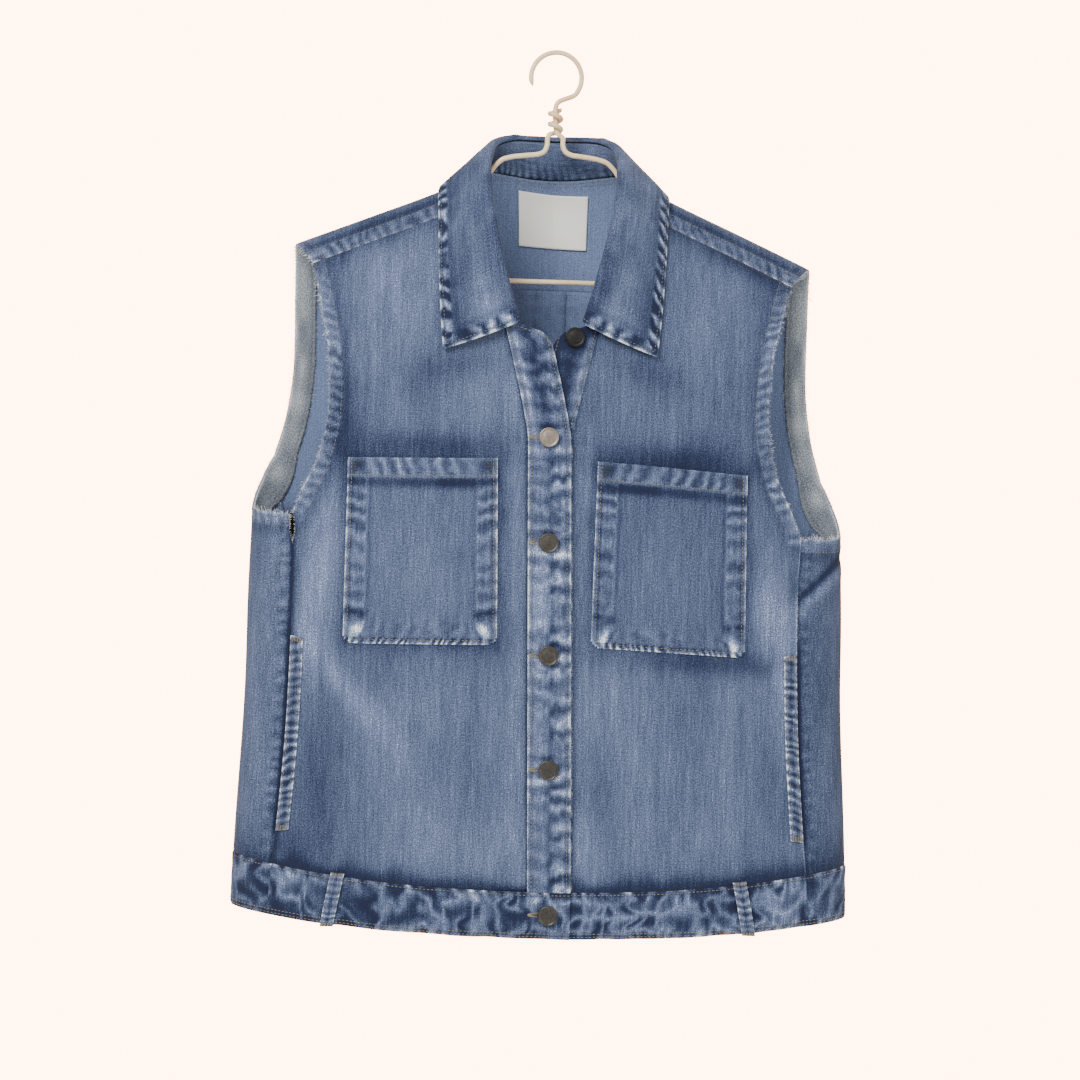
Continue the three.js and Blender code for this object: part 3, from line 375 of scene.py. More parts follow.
def normals_of(chart: Chart, a: Array, b: Array, turn: int, step_a: float = 0.4,
               step_b: float = 0.4) -> Array:
    """Unit normals of a chart's face, away from the inside of the vest."""
    across = chart(a + step_a, b) - chart(a - step_a, b)
    up = chart(a, b + step_b) - chart(a, b - step_b)
    return unit(np.cross(across, up)) * turn


class Slot(Enum):
    """The record's material slots."""

    DENIM = "denim"
    BAND = "denim_band"
    WRONG_SIDE = "denim_wrong_side"
    LABEL = "satin_label"
    METAL = "button_metal"
    WIRE = "hanger_wire"


WEAR_CENTRE, WEAR_CONTRAST = 0.43, 1.5


@dataclass
class Shell:
    """A thin wall of cloth over a grid of cells, with its wear and painted shade, and its sewing
    coordinates.
    """

    name: str
    middle: Array
    normal: Array
    low: Array
    high: Array
    wear: Array
    grain: Array
    has: Array | None = None
    fields: dict[str, Array] = field(default_factory=dict)
    inner_shade: Array | float = 0.0
    inner_contrast: float = 0.4

    def outer(self, lift: float = 0.0) -> Array:
        """The outer face's points, in millimetres, raised by lift."""
        return self.middle + self.normal * (self.high + lift)[..., None]

    def flat_size(self) -> tuple[float, float, float]:
        """Width, length and area of the cut, in metres, measured along the outer face."""
        p = self.middle
        across = np.linalg.norm(np.diff(p, axis=1), axis=2)
        up = np.linalg.norm(np.diff(p, axis=0), axis=2)
        cells = (across[:-1] + across[1:]) * (up[:, :-1] + up[:, 1:]) / 4
        area = (cells if self.has is None else cells * self.has).sum()
        width, length = across.sum(1).max(), up.sum(0).max()
        return width * MM, length * MM, min(area, width * length) * MM * MM

    def build(self, finishes: list[bpy.types.Material], nodes: list[str], slot: Slot) -> bpy.types.Object:
        """Args:
            finishes: the outer face's material and the inner face's.
            nodes: the solids that this piece stands for.
            slot: the record's material slot; not used.

        Returns:
            The finished piece.
        """
        rows, cols = self.middle.shape[0] - 1, self.middle.shape[1] - 1
        has = np.ones((rows, cols), bool) if self.has is None else self.has
        inner = self.middle + self.normal * self.low[..., None]
        points = np.concatenate([self.outer().reshape(-1, 3), inner.reshape(-1, 3)]) * MM
        number = np.arange((rows + 1) * (cols + 1)).reshape(rows + 1, cols + 1)
        shift = number.size
        a, b, c, d = number[:-1, :-1], number[:-1, 1:], number[1:, 1:], number[1:, :-1]
        quads = np.stack([a, b, c, d], -1)[has]
        padded_has = np.pad(has, 1)
        rims = []
        for start, end, beyond in (
            (a, b, padded_has[:-2, 1:-1]), (b, c, padded_has[1:-1, 2:]),
            (c, d, padded_has[2:, 1:-1]), (d, a, padded_has[1:-1, :-2]),
        ):
            edge = has & ~beyond
            rims.append(np.stack([end[edge], start[edge], start[edge] + shift, end[edge] + shift], -1))
        faces = np.concatenate([quads, quads[:, ::-1] + shift, *rims])
        used = np.unique(faces)
        renumber = np.zeros(len(points), int)
        renumber[used] = np.arange(len(used))
        faces, points = renumber[faces], points[used]
        if signed_volume(points, faces) < 0:
            faces = faces[:, ::-1]
        obj = new_object(self.name, points, faces)
        mesh = obj.data
        # The attribute written here carries the cloth's wear together with painted shade and painted
        # highlights.
        contrast = WEAR_CENTRE + WEAR_CONTRAST * (self.wear - 0.5)
        inside = WEAR_CENTRE + self.inner_contrast * (contrast - WEAR_CENTRE) - self.inner_shade
        wear = np.concatenate([contrast.reshape(-1), inside.reshape(-1)])[used]
        mesh.attributes.new("wear", "FLOAT", "POINT").data.foreach_set("value", wear.astype(np.float32))
        grain = np.tile(self.grain.reshape(-1, 2), (2, 1))[used] * MM
        uv = mesh.uv_layers.new(name="grain")
        uv.data.foreach_set("uv", grain[faces.reshape(-1)].reshape(-1).astype(np.float32))
        for finish in finishes:
            mesh.materials.append(finish)
        kind = np.zeros(len(faces), np.int32)
        kind[len(quads):2 * len(quads)] = len(finishes) - 1
        mesh.polygons.foreach_set("material_index", kind)
        mesh.update()
        dress(obj, slot, nodes)
        width, length, area = self.flat_size()
        log.info("%s: cut %.0f x %.0f mm, %d faces", self.name, width / MM, length / MM, len(faces))
        return obj


def signed_volume(points: Array, faces: Array) -> float:
    """Volume of a closed mesh of quads; below zero where its faces point inwards."""
    p = points[faces]
    one = np.einsum("ij,ij->i", p[:, 0], np.cross(p[:, 1], p[:, 2]))
    two = np.einsum("ij,ij->i", p[:, 0], np.cross(p[:, 2], p[:, 3]))
    return float((one + two).sum())


def hung_askew(points: Array) -> Array:
    """Points in metres, raised toward the wearer's right arm and dropped toward the left."""
    x, z = points[:, 0] / MM, points[:, 2] / MM
    rise = ASKEW_RISE * smooth(z, ASKEW_FROM, ASKEW_WHOLE) * np.sign(x) * np.abs(x / ASKEW_WIDTH) ** 1.5
    return points - np.stack([0 * rise, 0 * rise, rise * MM], 1)


def new_object(name: str, points: Array, faces: Array | list,
               smooth_faces: bool = True) -> bpy.types.Object:
    """A linked mesh object from points in metres and faces."""
    mesh = bpy.data.meshes.new(name)
    listed = faces.tolist() if isinstance(faces, np.ndarray) else faces
    mesh.from_pydata(hung_askew(points).tolist(), [], listed)
    mesh.polygons.foreach_set("use_smooth", np.full(len(mesh.polygons), smooth_faces))
    obj = bpy.data.objects.new(name, mesh)
    bpy.context.scene.collection.objects.link(obj)
    return obj


def dress(obj: bpy.types.Object, slot: Slot, nodes: list[str] | None = None) -> None:
    """Rides a piece on the vest's body and hides the solids that it stands for."""
    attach(obj, "root")
    if nodes:
        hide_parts(*nodes)


# Faded and dark places on the fronts, among them painted shade below the collar's points: x, z, half width,
# half height, turn, amount.
FADES_AND_SHADE = [
    (-124, -245, 48, 75, 0, 0.10), (-147, -197, 32, 34, 0, 0.07), (-65, -310, 28, 40, 0, 0.04),
    (-192, -230, 16, 40, 0, 0.05), (-179, -321, 14, 40, 0, -0.12), (-194, -458, 14, 62, -6, 0.17),
    (-100, -349, 62, 11, 0, -0.17), (-172, -556, 11, 66, 42, 0.13), (-206, -640, 12, 40, 6, 0.05),
    (-110, -655, 24, 68, 30, 0.06), (-45, -603, 18, 60, 0, 0.05), (-196, -655, 26, 70, 0, -0.12),
    (-232, -696, 30, 16, 0, -0.12), (-225, -432, 9, 36, 0, -0.12), (-232, -605, 9, 60, 0, -0.08),
    (-140, -275, 85, 80, 0, -0.05), (140, -275, 85, 80, 0, -0.09), (-30, -304, 9, 36, 0, 0.08),
(-100, -575, 60, 26, 0, 0.03),
    (140, -225, 52, 62, 0, 0.10), (106, -293, 30, 44, 0, 0.08), (193, -255, 13, 16, 0, 0.08),
    (35, -276, 10, 14, 0, 0.08), (197, -305, 9, 44, 0, -0.12), (120, -142, 26, 12, -24, -0.24),
    (183, -187, 42, 9, -22, -0.12), (107, -354, 66, 13, 0, -0.20), (198, -484, 18, 42, 0, 0.18),
    (210, -598, 10, 40, 0, 0.08), (213, -537, 9, 30, 0, 0.08), (88, -636, 24, 44, 0, 0.06),
    (153, -626, 22, 40, 0, 0.06), (163, -675, 26, 22, 0, 0.05), (138, -530, 62, 9, 0, -0.15),
    (233, -441, 9, 30, -40, -0.24), (216, -650, 12, 40, 0, -0.10), (182, -528, 14, 12, 0, -0.08),
    (60, -560, 26, 50, 0, 0.05), (20, -640, 20, 60, 0, -0.03), (0, -700, 250, 40, 0, 0.07),
# Painted shade below the collar's points.
(-86, -279, 38, 15, 20, -0.11), (86, -279, 40, 16, -20, -0.11),
]

BLOTCH, CLOUD, STREAK = Noise(11), Noise(12), Noise(13)


def faded_and_shaded(x: Array, z: Array, base: float = 0.50) -> Array:
    """Wear of the fronts before their seams: fades, painted shade below the collar's points and uneven,
    upright blotches.
    """
    total = (
        base + 0.035 * BLOTCH(x / 26, z / 70) + 0.03 * CLOUD(x / 9, z / 34)
        + 0.02 * STREAK(x / 3.1, z / 60)
    )
    for fx, fz, wide, high, turn, amount in FADES_AND_SHADE:
        c, s = math.cos(math.radians(turn)), math.sin(math.radians(turn))
        dx, dz = x - fx, z - fz
        total = total + amount * np.exp(-((dx * c + dz * s) / wide) ** 2 - ((-dx * s + dz * c) / high) ** 2)
    return total


@dataclass(frozen=True)
class Pucker:
    """The uneven light and dark ripples that a topstitched edge shrinks into.

    Sizes are in millimetres; slant is how far a ripple runs along the seam for each millimetre across.
    """

    period: float
    slant: float
    seed: int
    sharp: float = 1.0

    def __call__(self, along: Array, across: Array) -> Array:
        """The ripple at places along and across the seam, from -1 to 1."""
        noise = Noise(self.seed)
        way = along / self.period + self.slant * across / self.period
        phase = way + 0.55 * noise(along / (2.3 * self.period)) + 0.2 * noise(along / 7, across / 5 + 9)
        strength = 0.55 + 0.45 * noise(along / (1.7 * self.period) + 31)
        wave = np.cos(2 * math.pi * phase)
        return np.clip(self.sharp * wave * strength + 0.35 * noise(along / 4.4, across / 3.4 + 20), -1, 1)


def rounded_edge(distance: Array, depth: float = 0.55, width: float = 1.0) -> Array:
    """How far a folded edge rolls down near its fold."""
    return -depth * np.exp(-np.maximum(distance, 0) / width)


def spaced(length: float, cell: float) -> Array:
    """Even shares of a length in cells of about the given size."""
    return np.linspace(0, 1, max(int(round(length / cell)), 2) + 1)


def coons(inner: Array, outer: Array, bottom: Array, top: Array, up: Array, over: Array) -> Array:
    """Blends four edges into a grid of sewing coordinates; inner and outer run up."""
    u, v = over[None, :, None], up[:, None, None]
    sides = mix(inner[:, None], outer[:, None], u) + mix(bottom[None], top[None], v)
    return sides - mix(mix(inner[0], outer[0], u), mix(inner[-1], outer[-1], u), v)


FRONT_SEAM = SmoothTable([
    (-790, 240), (-753, 235), (-710, 231), (-680, 227.8), (-600, 221.7), (-518, 219), (-450, 219),
(-415, 221),
])
BACK_SEAM_X = SmoothTable([
    (-790, 240), (-753, 235), (-710, 231), (-600, 222), (-518, 220), (-450, 226), (-400, 236),
(-364, 243.5),
])
FRONT_ARMHOLE = [
    (221, -415), (211.6, -392), (199.7, -366), (191.5, -332), (190.4, -297), (193.9, -260), (202.5, -222),
    (209, -196.5),
]
BACK_ARMHOLE = [(243.5, -364), (234, -329), (228.5, -290), (227.5, -255), (227.5, -223)]
SHOULDER_END = SmoothTable([(-30, 208), (-15, 217), (0, 226), (20, 227), (60, 227.5)])
UNDERARM = SmoothTable([(0, -415), (0.3, -414), (0.55, -409), (0.8, -390), (1, -364)])
FRONT_YOKE = 25.0
ARM_TOP, BACK_ARM_TOP = -415.0, -364.0
SEWN_TOP, FREE_TOP, SPREAD_FROM = -237.0, -250.0, -339.0
PLACKET_HALF, UNDER_OUT, UNDER_IN = 18.5, 20.0, 16.5
RIP_HALF, RIP_TO, RIP_END = 2.7, -431.0, -441.0


def centre_x(z: Array) -> Array:
    """The opening's centre line, which leans a little to the wearer's left."""
    return mix(1.0, 9.0, np.clip((z - SPREAD_FROM) / (WAIST.front - SPREAD_FROM), 0, 1))


def spread_x(z: Array) -> Array:
    """How far each front has spread from the centre line above the first button."""
    return 20.0 * (np.maximum(z - SPREAD_FROM, 0) / (FREE_TOP - SPREAD_FROM)) ** 1.15


def back_yoke_z(x: Array) -> Array:
    """Height of the seam below the back yoke."""
    return -203 - 20 * (x / SHOULDER_X) ** 2


def rip_x(sign: int, z: Array) -> Array:
    """How far the panels have drawn back from the right side seam."""
    return RIP_HALF * np.clip((z - RIP_END) / (RIP_TO - RIP_END), 0, 1) * (sign < 0)


def over_chart(name: str, chart: Chart, turn: int, a: Array, b: Array, low: Array | float,
               high: Array | float, wear: Array, grain: Array | None = None, has: Array | None = None,
               steps: tuple[float, float] = (0.4, 0.4), fields: dict[str, Array] | None = None) -> Shell:
    """A shell laid over a chart at sewing coordinates a and b."""
    ones = np.ones_like(a)
    grain = np.stack([a, b], -1) if grain is None else grain
    normal = normals_of(chart, a, b, turn, *steps)
    return Shell(name, chart(a, b), normal, low * ones, high * ones, wear * ones, grain, has, fields or {})


def distance_to(places: Array, line: Array) -> Array:
    """Distance of each place on a grid to the nearest point of a line."""
    return np.sqrt(((places[..., None, :] - line) ** 2).sum(-1)).min(-1)


@dataclass
class Fronts:
    """The two fronts, from the placket to the side seam and from the waistband to the yoke."""

    cell: float = 2.5
    edge_band: float = 17.0

    def panel(self, sign: int) -> Shell:
        """One front; sign is -1 on the wearer's right."""
        sewn = PLACKET_HALF if sign < 0 else UNDER_OUT
        lean = -1 if sign < 0 else 1
        placket = lambda z: sewn + lean * centre_x(z) + spread_x(z)
        seam_z_values = np.linspace(float(seam_z(WAIST, FRONT, FRONT_SEAM(WAIST.side))), ARM_TOP, 160)
        seam = np.stack([FRONT_SEAM(seam_z_values) - EDGE_GAP - rip_x(sign, seam_z_values),
                         seam_z_values], 1)
        arm = dense_curve(FRONT_ARMHOLE)
        outer_line = np.vstack([seam, arm[1:]])
        total, low_part = length_along(outer_line)[-1], length_along(seam)[-1]
        corner = (low_part + (total - low_part) * 5 / 9) / total
        arm_start = low_part / total
        pieces = [(0, arm_start), (arm_start, corner), (corner, 1)]
        up = np.unique(np.concatenate([mix(lo, hi, spaced((hi - lo) * total, self.cell)) for lo,
                                       hi in pieces]))
        outer = at_shares(outer_line, up)
        neck = dense_curve([(float(placket(SEWN_TOP)) + EDGE_GAP, SEWN_TOP), (51, -212), (58, -184),
                            (63.5, -150), (64, -128)])
        low_z = float(seam_z(WAIST, FRONT, UNDER_OUT)) + EDGE_GAP
        z_in = mix(low_z, SEWN_TOP, np.minimum(up / corner, 1))
        inner = np.stack([placket(z_in) + EDGE_GAP, z_in], 1)
        above = up > corner + 1e-9
        inner[above] = at_shares(neck, (up[above] - corner) / (1 - corner))
        over = 1 - (1 - spaced(200, self.cell)) ** 1.2
        for line in (inner, outer):
            line[0, 1] = seam_z(WAIST, FRONT, line[0, 0]) + EDGE_GAP
        x_low, x_top = mix(inner[0, 0], outer[0, 0], over), mix(inner[-1, 0], outer[-1, 0], over)
        bottom = np.stack([x_low, seam_z(WAIST, FRONT, x_low) + EDGE_GAP], 1)
        top = np.stack([x_top, BODY.shoulder_z(x_top) - FRONT_YOKE - EDGE_GAP], 1)
        inner[-1, 1], outer[-1, 1] = top[0, 1], top[-1, 1]
        grid = coons(inner, outer, bottom, top, up, over)
        x, z = sign * grid[..., 0], grid[..., 1]
        to_arm = distance_to(grid, arm[::4])
        wear = faded_and_shaded(x, z) + self.seam_wear(sign, x, z, placket, to_arm)
        ripple = Pucker(11.5, 0.5, 40 + sign)
        band = (to_arm < 11) * ripple(z, to_arm)
        high = 0.22 * band + rounded_edge(to_arm, 0.4)
        return over_chart(f"front_{hand(sign)}_denim", BODY.front, 1, x, z, -CLOTH, high, wear,
                          fields={"arm": to_arm, "z": z})

    def seam_wear(self, sign: int, x: Array, z: Array, placket: Callable, to_arm: Array) -> Array:
        """Dark hollows and pale ridges along the seams of one front."""
        above_waist = z - seam_z(WAIST, FRONT, x)
        under_yoke = BODY.shoulder_z(x) - FRONT_YOKE - z
        to_placket = np.abs(x) - placket(z)
        to_seam = FRONT_SEAM(z) - np.abs(x)
        noise = Noise(60 + sign)
        total = (
            -0.30 * np.exp(-((above_waist / (9 + 5 * noise(x / 15, 4.0))) ** 2))
            - 0.05 * np.exp(-above_waist / 30)
        )
        total -= 0.16 * fading(under_yoke, 9) * (1 + 0.6 * noise(x / 13, 8.0))
        total += (
            0.06 * bump(to_placket - 9, 8) * (z < -345)
            - 0.13 * fading(to_placket, 2.2)
        )
        below_arm = (z < ARM_TOP) * fading(to_seam, 1.2)
        total += np.where(z < ARM_TOP, -0.26 * fading(to_seam, 2.5)
                          + 0.03 * bump(to_seam - 11, 7), 0)
        total += (0.55 if sign > 0 else -0.10) * below_arm
        band = to_arm < 12
        arm = 0.20 * Pucker(9.5, 0.35, 70 + sign, 0.9)(z, to_arm) * band - 0.08 * bump(to_arm - 14, 5)
        arm += 0.32 * np.exp(-to_arm / 1.2) + 0.05 * band
        pocket = pocket_halo(x, z)
        return total + arm + pocket


def hand(sign: int) -> str:
    """The wearer's right or left."""
    return "right" if sign < 0 else "left"


POCKET_CORNERS = ((40, -518), (173, -522), (43, -358), (172, -363.6))


def pocket_halo(x: Array, z: Array) -> Array:
    """Dark dye that stays round a pocket's edges, on the front beneath it."""
    side = np.abs(x)
    outside_x = np.maximum(np.maximum(41 - side, side - 172.5), 0)
    outside_z = np.maximum(np.maximum(z + 361, -520 - z), 0)
    away = np.hypot(outside_x, outside_z)
    return -0.15 * np.exp(-away / 7) * (1 + 0.35 * CLOUD(x / 14, z / 14))


@dataclass
class Sides:
    """The side panels that bridge front and back round the folds below the arms."""

    cell: float = 2.4

    def panel(self, sign: int) -> Shell:
        """One side panel, in angle and height."""
        v = spaced(290, self.cell)
        top_front, top_back = ARM_TOP, BACK_ARM_TOP
        low_front = float(seam_z(WAIST, FRONT, FRONT_SEAM(WAIST.side)))
        low_back = float(seam_z(WAIST, BACK, BACK_SEAM_X(WAIST.side)))
        zf, zb = mix(low_front, top_front, v), mix(low_back, top_back, v)
        front = np.stack([-BODY.side_angle(FRONT_SEAM(zf) + EDGE_GAP + rip_x(sign, zf), zf), zf], 1)
        back = np.stack([BODY.side_angle(BACK_SEAM_X(zb) + EDGE_GAP, zb), zb], 1)
        front[0, 1] += EDGE_GAP
        back[0, 1] += EDGE_GAP
        u = spaced(95, self.cell)
        angle = mix(front[0, 0], back[0, 0], u)
        x_low = BODY.side_x(angle, WAIST.side)
        low_z = np.where(angle < 0, seam_z(WAIST, FRONT, x_low), seam_z(WAIST, BACK, x_low))
        bottom = np.stack([angle, low_z + EDGE_GAP], 1)
        top = np.stack([mix(front[-1, 0], back[-1, 0], u), UNDERARM(u)], 1)
        grid = coons(front, back, bottom, top, v, u)
        a, z = grid[..., 0], grid[..., 1]
        x = BODY.side_x(a, z)
        run = a * 75
        down = UNDERARM(u)[None, :] - z
        band = Pucker(8.5, 0.3, 90 + sign)(run, down) * (down < 12)
        wear = (
            (0.52 if sign < 0 else 0.45) + 0.04 * BLOTCH(run / 17, z / 60 + 7 * sign)
            + 0.03 * CLOUD(run / 7, z / 30)
        )
        wear = wear - 0.18 * np.exp(-(z - WAIST.side) / 14) + 0.14 * band + 0.06 * (down < 12)
        wear = wear - 0.10 * bump(down - 15, 6) + 0.16 * fading(down, 1.3)
        wear = wear + 0.04 * bump(FRONT_SEAM(z) + 4.5 - x, 3.2) * (a < 0)
        # Darker along the front seam: the side pocket's mouth gets painted shade for its open slit, and the
        # right side is darker above the pocket.
        mouth_shade = smooth(z, -690, -680) * smooth(-z, 500, 520)
        beyond = np.maximum(x - FRONT_SEAM(z), 0)
        torn = 0.28 * (sign < 0) * (z > -518)
        wear = wear - (0.14 + 0.42 * mouth_shade + torn) * np.exp(-beyond / 2.8) * (a < 0)
        wear = wear + 0.13 * Pucker(12, 0.2, 94 + sign)(z, beyond) * bump(beyond - 7, 4.5) * (a < 0)
        fold, below = self.fold(sign, a, x, z)
        # Painted shade in the fold's trough and a painted highlight on the ridge below it, besides the
        # relief.
        wear = wear - 0.30 * fold + 0.14 * below
        high = 0.2 * band + rounded_edge(down, 0.4) + 0.3 * bump(FRONT_SEAM(z) + 4 - x, 2.5) * (a < 0)
        high = high - 0.9 * fold + 0.5 * below
        grain = np.stack([run, z], -1)
        shell = over_chart(f"side_{hand(sign)}_denim", BODY.side(sign), sign, a, z, -CLOTH, high, wear,
                           grain, steps=(0.01, 1.0), fields={"down": down, "run": run})
        shell.inner_shade = behind_rip(sign, x, z) * (a > 0)
        return shell

    def fold(self, sign: int, a: Array, x: Array, z: Array) -> tuple[Array, Array]:
        """The trough from the left underarm down to the front seam, and the ridge below it; they shape the
        cloth and carry its painted shade and highlight.
        """
        across = (x - 258) * 0.707 - (z + 430) * 0.707
        along = smooth(x, 212, 226) * smooth(-x, -266, -258)
        shown = (sign > 0) * (a < 0.3) * along
        return shown * bump(across, 3.2), shown * bump(across - 8, 5)


def behind_rip(sign: int, x: Array, z: Array) -> Array:
    """The shade inside the vest behind the rip, from 0 to 1."""
    return 0.95 * (sign < 0) * bump(np.abs(x) - 228, 9) * bump(z + 429, 16)


@dataclass
class Backs:
    """The two back panels below the yoke, which meet in a seam near the centre."""

    cell: float = 3.6

    def panel(self, sign: int) -> Shell:
        """One back panel."""
        low_z = float(seam_z(WAIST, BACK, BACK_SEAM_X(WAIST.side)))
        seam_heights = np.linspace(low_z, BACK_ARM_TOP, 140)
        seam = np.stack([BACK_SEAM_X(seam_heights) - EDGE_GAP, seam_heights], 1)
        arm = dense_curve(BACK_ARMHOLE)
        line = np.vstack([seam, arm[1:]])
        total, corner = length_along(line)[-1], length_along(seam)[-1] / length_along(line)[-1]
        up = np.unique(np.concatenate([
            mix(0, corner, spaced(corner * total, self.cell)),
mix(corner, 1, spaced((1 - corner) * total, self.cell)),
        ]))
        outer = at_shares(line, up)
        inner = np.stack([
            sign * mix(4, 14, up) + EDGE_GAP, mix(WAIST.back + EDGE_GAP, -203 - EDGE_GAP, up),
        ], 1)
        outer[0, 1] = seam_z(WAIST, BACK, outer[0, 0]) + EDGE_GAP
        outer[-1, 1] = back_yoke_z(outer[-1, 0]) - EDGE_GAP
        over = 1 - (1 - spaced(225, self.cell)) ** 1.2
        x_low, x_top = mix(inner[0, 0], outer[0, 0], over), mix(inner[-1, 0], outer[-1, 0], over)
        bottom = np.stack([x_low, seam_z(WAIST, BACK, x_low) + EDGE_GAP], 1)
        top = np.stack([x_top, back_yoke_z(x_top) - EDGE_GAP], 1)
        grid = coons(inner, outer, bottom, top, up, over)
        x, z = sign * grid[..., 0], grid[..., 1]
        to_arm = distance_to(grid, arm[::4])
        wear = 0.50 + 0.045 * BLOTCH(x / 30 + 5, z / 80) + 0.03 * CLOUD(x / 10 + 9, z / 36)
        for fx, fz, wide, high, amount in ((-110, -330, 50, 90, 0.10), (105, -350, 46, 80, 0.09),
                                           (-60, -560, 40, 80, 0.05), (120, -600, 40, 70, 0.05),
                                           (200, -640, 26, 60, -0.10), (-205, -630, 24, 60, -0.10)):
            wear = wear + amount * bump(x - fx, wide) * bump(z - fz, high)
        wear = (
            wear - 0.22 * np.exp(-(z - seam_z(WAIST, BACK, x)) / 13)
            - 0.16 * np.exp(-(back_yoke_z(x) - z) / 9)
        )
        middle = np.abs(np.abs(grid[..., 0]) - np.abs(inner[:, None, 0]))
        wear = wear - 0.12 * np.exp(-middle / 3) + 0.10 * Pucker(12, 0.4, 101)(z, middle) * (middle < 9)
        band = (to_arm < 12) * Pucker(9.5, 0.35, 103 + sign)(z, to_arm)
        wear = wear + 0.14 * band + 0.20 * np.exp(-to_arm / 1.3) - 0.08 * bump(to_arm - 14, 5)
        high = 0.2 * band + rounded_edge(to_arm, 0.4)
        shell = over_chart(f"back_{hand(sign)}_denim", BODY.back, -1, x, z, -CLOTH, high, wear,
                           fields={"arm": to_arm, "z": z, "middle": middle, "down": back_yoke_z(x) - z})
        shell.inner_shade = behind_rip(sign, x, z)
        return shell


NECK_ROWS = [
    (BACK, 0, -105), (BACK, 22, -105), (BACK, 42, -104), (BACK, 57, -103.5), (FRONT, 61, -104),
    (FRONT, 62.4, -118), (FRONT, 62, -146), (FRONT, 57, -182), (FRONT, 48, -214), (FRONT, 36, -238),
]


@dataclass
class Yoke:
    """The yoke, in one piece over both shoulders, with a topstitched band along its front seam."""

    cell: float = 2.4
    band: float = 13.0

    def panel(self) -> Shell:
        """The whole yoke over the ridge chart."""
        neck = SmoothTable([(x, z) for _, x, z in NECK_ROWS[:5]])
        front_end = FRONT_YOKE + RIDGE_EXTRA - EDGE_GAP
        front_w = -front_end * (1 - spaced(front_end, 1.7)) ** 1.2
        back_share = spaced(140, self.cell)[1:] ** 1.15
        middle = np.linspace(-1, 1, int(2 * NECK_X / self.cell) + 1)
        side = spaced(SHOULDER_X - NECK_X, self.cell)[1:]
        span = np.concatenate([-1 - side[::-1], middle, 1 + side])
        rows, cols = len(front_w) + len(back_share), len(span)
        x, w = np.zeros((rows, cols)), np.zeros((rows, cols))
        inside = np.abs(span) <= 1
        xm = NECK_X * span
        start_neck = np.maximum(BODY.over_ridge(xm, neck(np.abs(xm))),
                                0) * (1 - smooth(np.abs(xm), 56, NECK_X))
        reach = np.where(inside, np.abs(xm), mix(NECK_X, SHOULDER_X, np.abs(span) - 1))
        end = BODY.over_ridge(reach, back_yoke_z(reach) - YOKE_LAP)
        for i in range(rows):
            back = i - len(front_w)
            row_w = np.full(cols, front_w[i]) if back < 0 else mix(np.where(inside, start_neck, 0), end,
                    back_share[back])
            start_x = NECK_X + 2 * np.clip(-row_w / 6, 0, 1)
            side_x = np.sign(span) * mix(start_x, SHOULDER_END(row_w), np.abs(span) - 1)
            x[i], w[i] = np.where(inside, xm, side_x), row_w
        last_front = len(front_w) - 1
        w[last_front] = np.where(inside, start_neck, 0)
        has = np.ones((rows - 1, cols - 1), bool)
        centre = np.abs((span[1:] + span[:-1]) / 2) < 1
        has[:last_front, centre] = False
        to_seam = w + front_end
        to_tip = np.abs(SHOULDER_END(w) - np.abs(x))
        ripple = Pucker(9.5, 0.45, 120)(x, to_seam)
        in_band = smooth(-to_seam, -self.band, -self.band + 1.5)
        wear = 0.42 + 0.05 * BLOTCH(x / 26, w / 30 + 3) + 0.03 * CLOUD(x / 10, w / 12)
        wear = wear + in_band * (0.17 * ripple + 0.04) - 0.14 * bump(to_seam - self.band - 2.5, 3)
        wear = (
            wear + 0.22 * fading(to_seam, 0.9)
            + 0.10 * bump(w, 7) * (0.6 + 0.6 * CLOUD(x / 6, 2.0))
        )
        wear = wear + 0.16 * np.exp(-to_tip / 1.3) + 0.12 * Pucker(9, 0.3, 121)(w, to_tip) * (to_tip < 11)
        wear = wear - 0.12 * np.exp(-(end[None, :] - w) / 8) * (w > 20)
        high = (
            0.45 * in_band + 0.35 * in_band * ripple + rounded_edge(to_seam, 0.5, 1.0) * (w < 0)
            + rounded_edge(to_tip, 0.3)
        )
        fields = {"seam": to_seam, "tip": to_tip, "x": x, "w": w, "neck": w - start_neck[None, :],
                  "end": end[None, :] - w}
        return over_chart("yoke_denim", BODY.yoke, 1, x, w, -CLOTH, high, wear, np.stack([x, w], -1), has,
                          fields=fields)


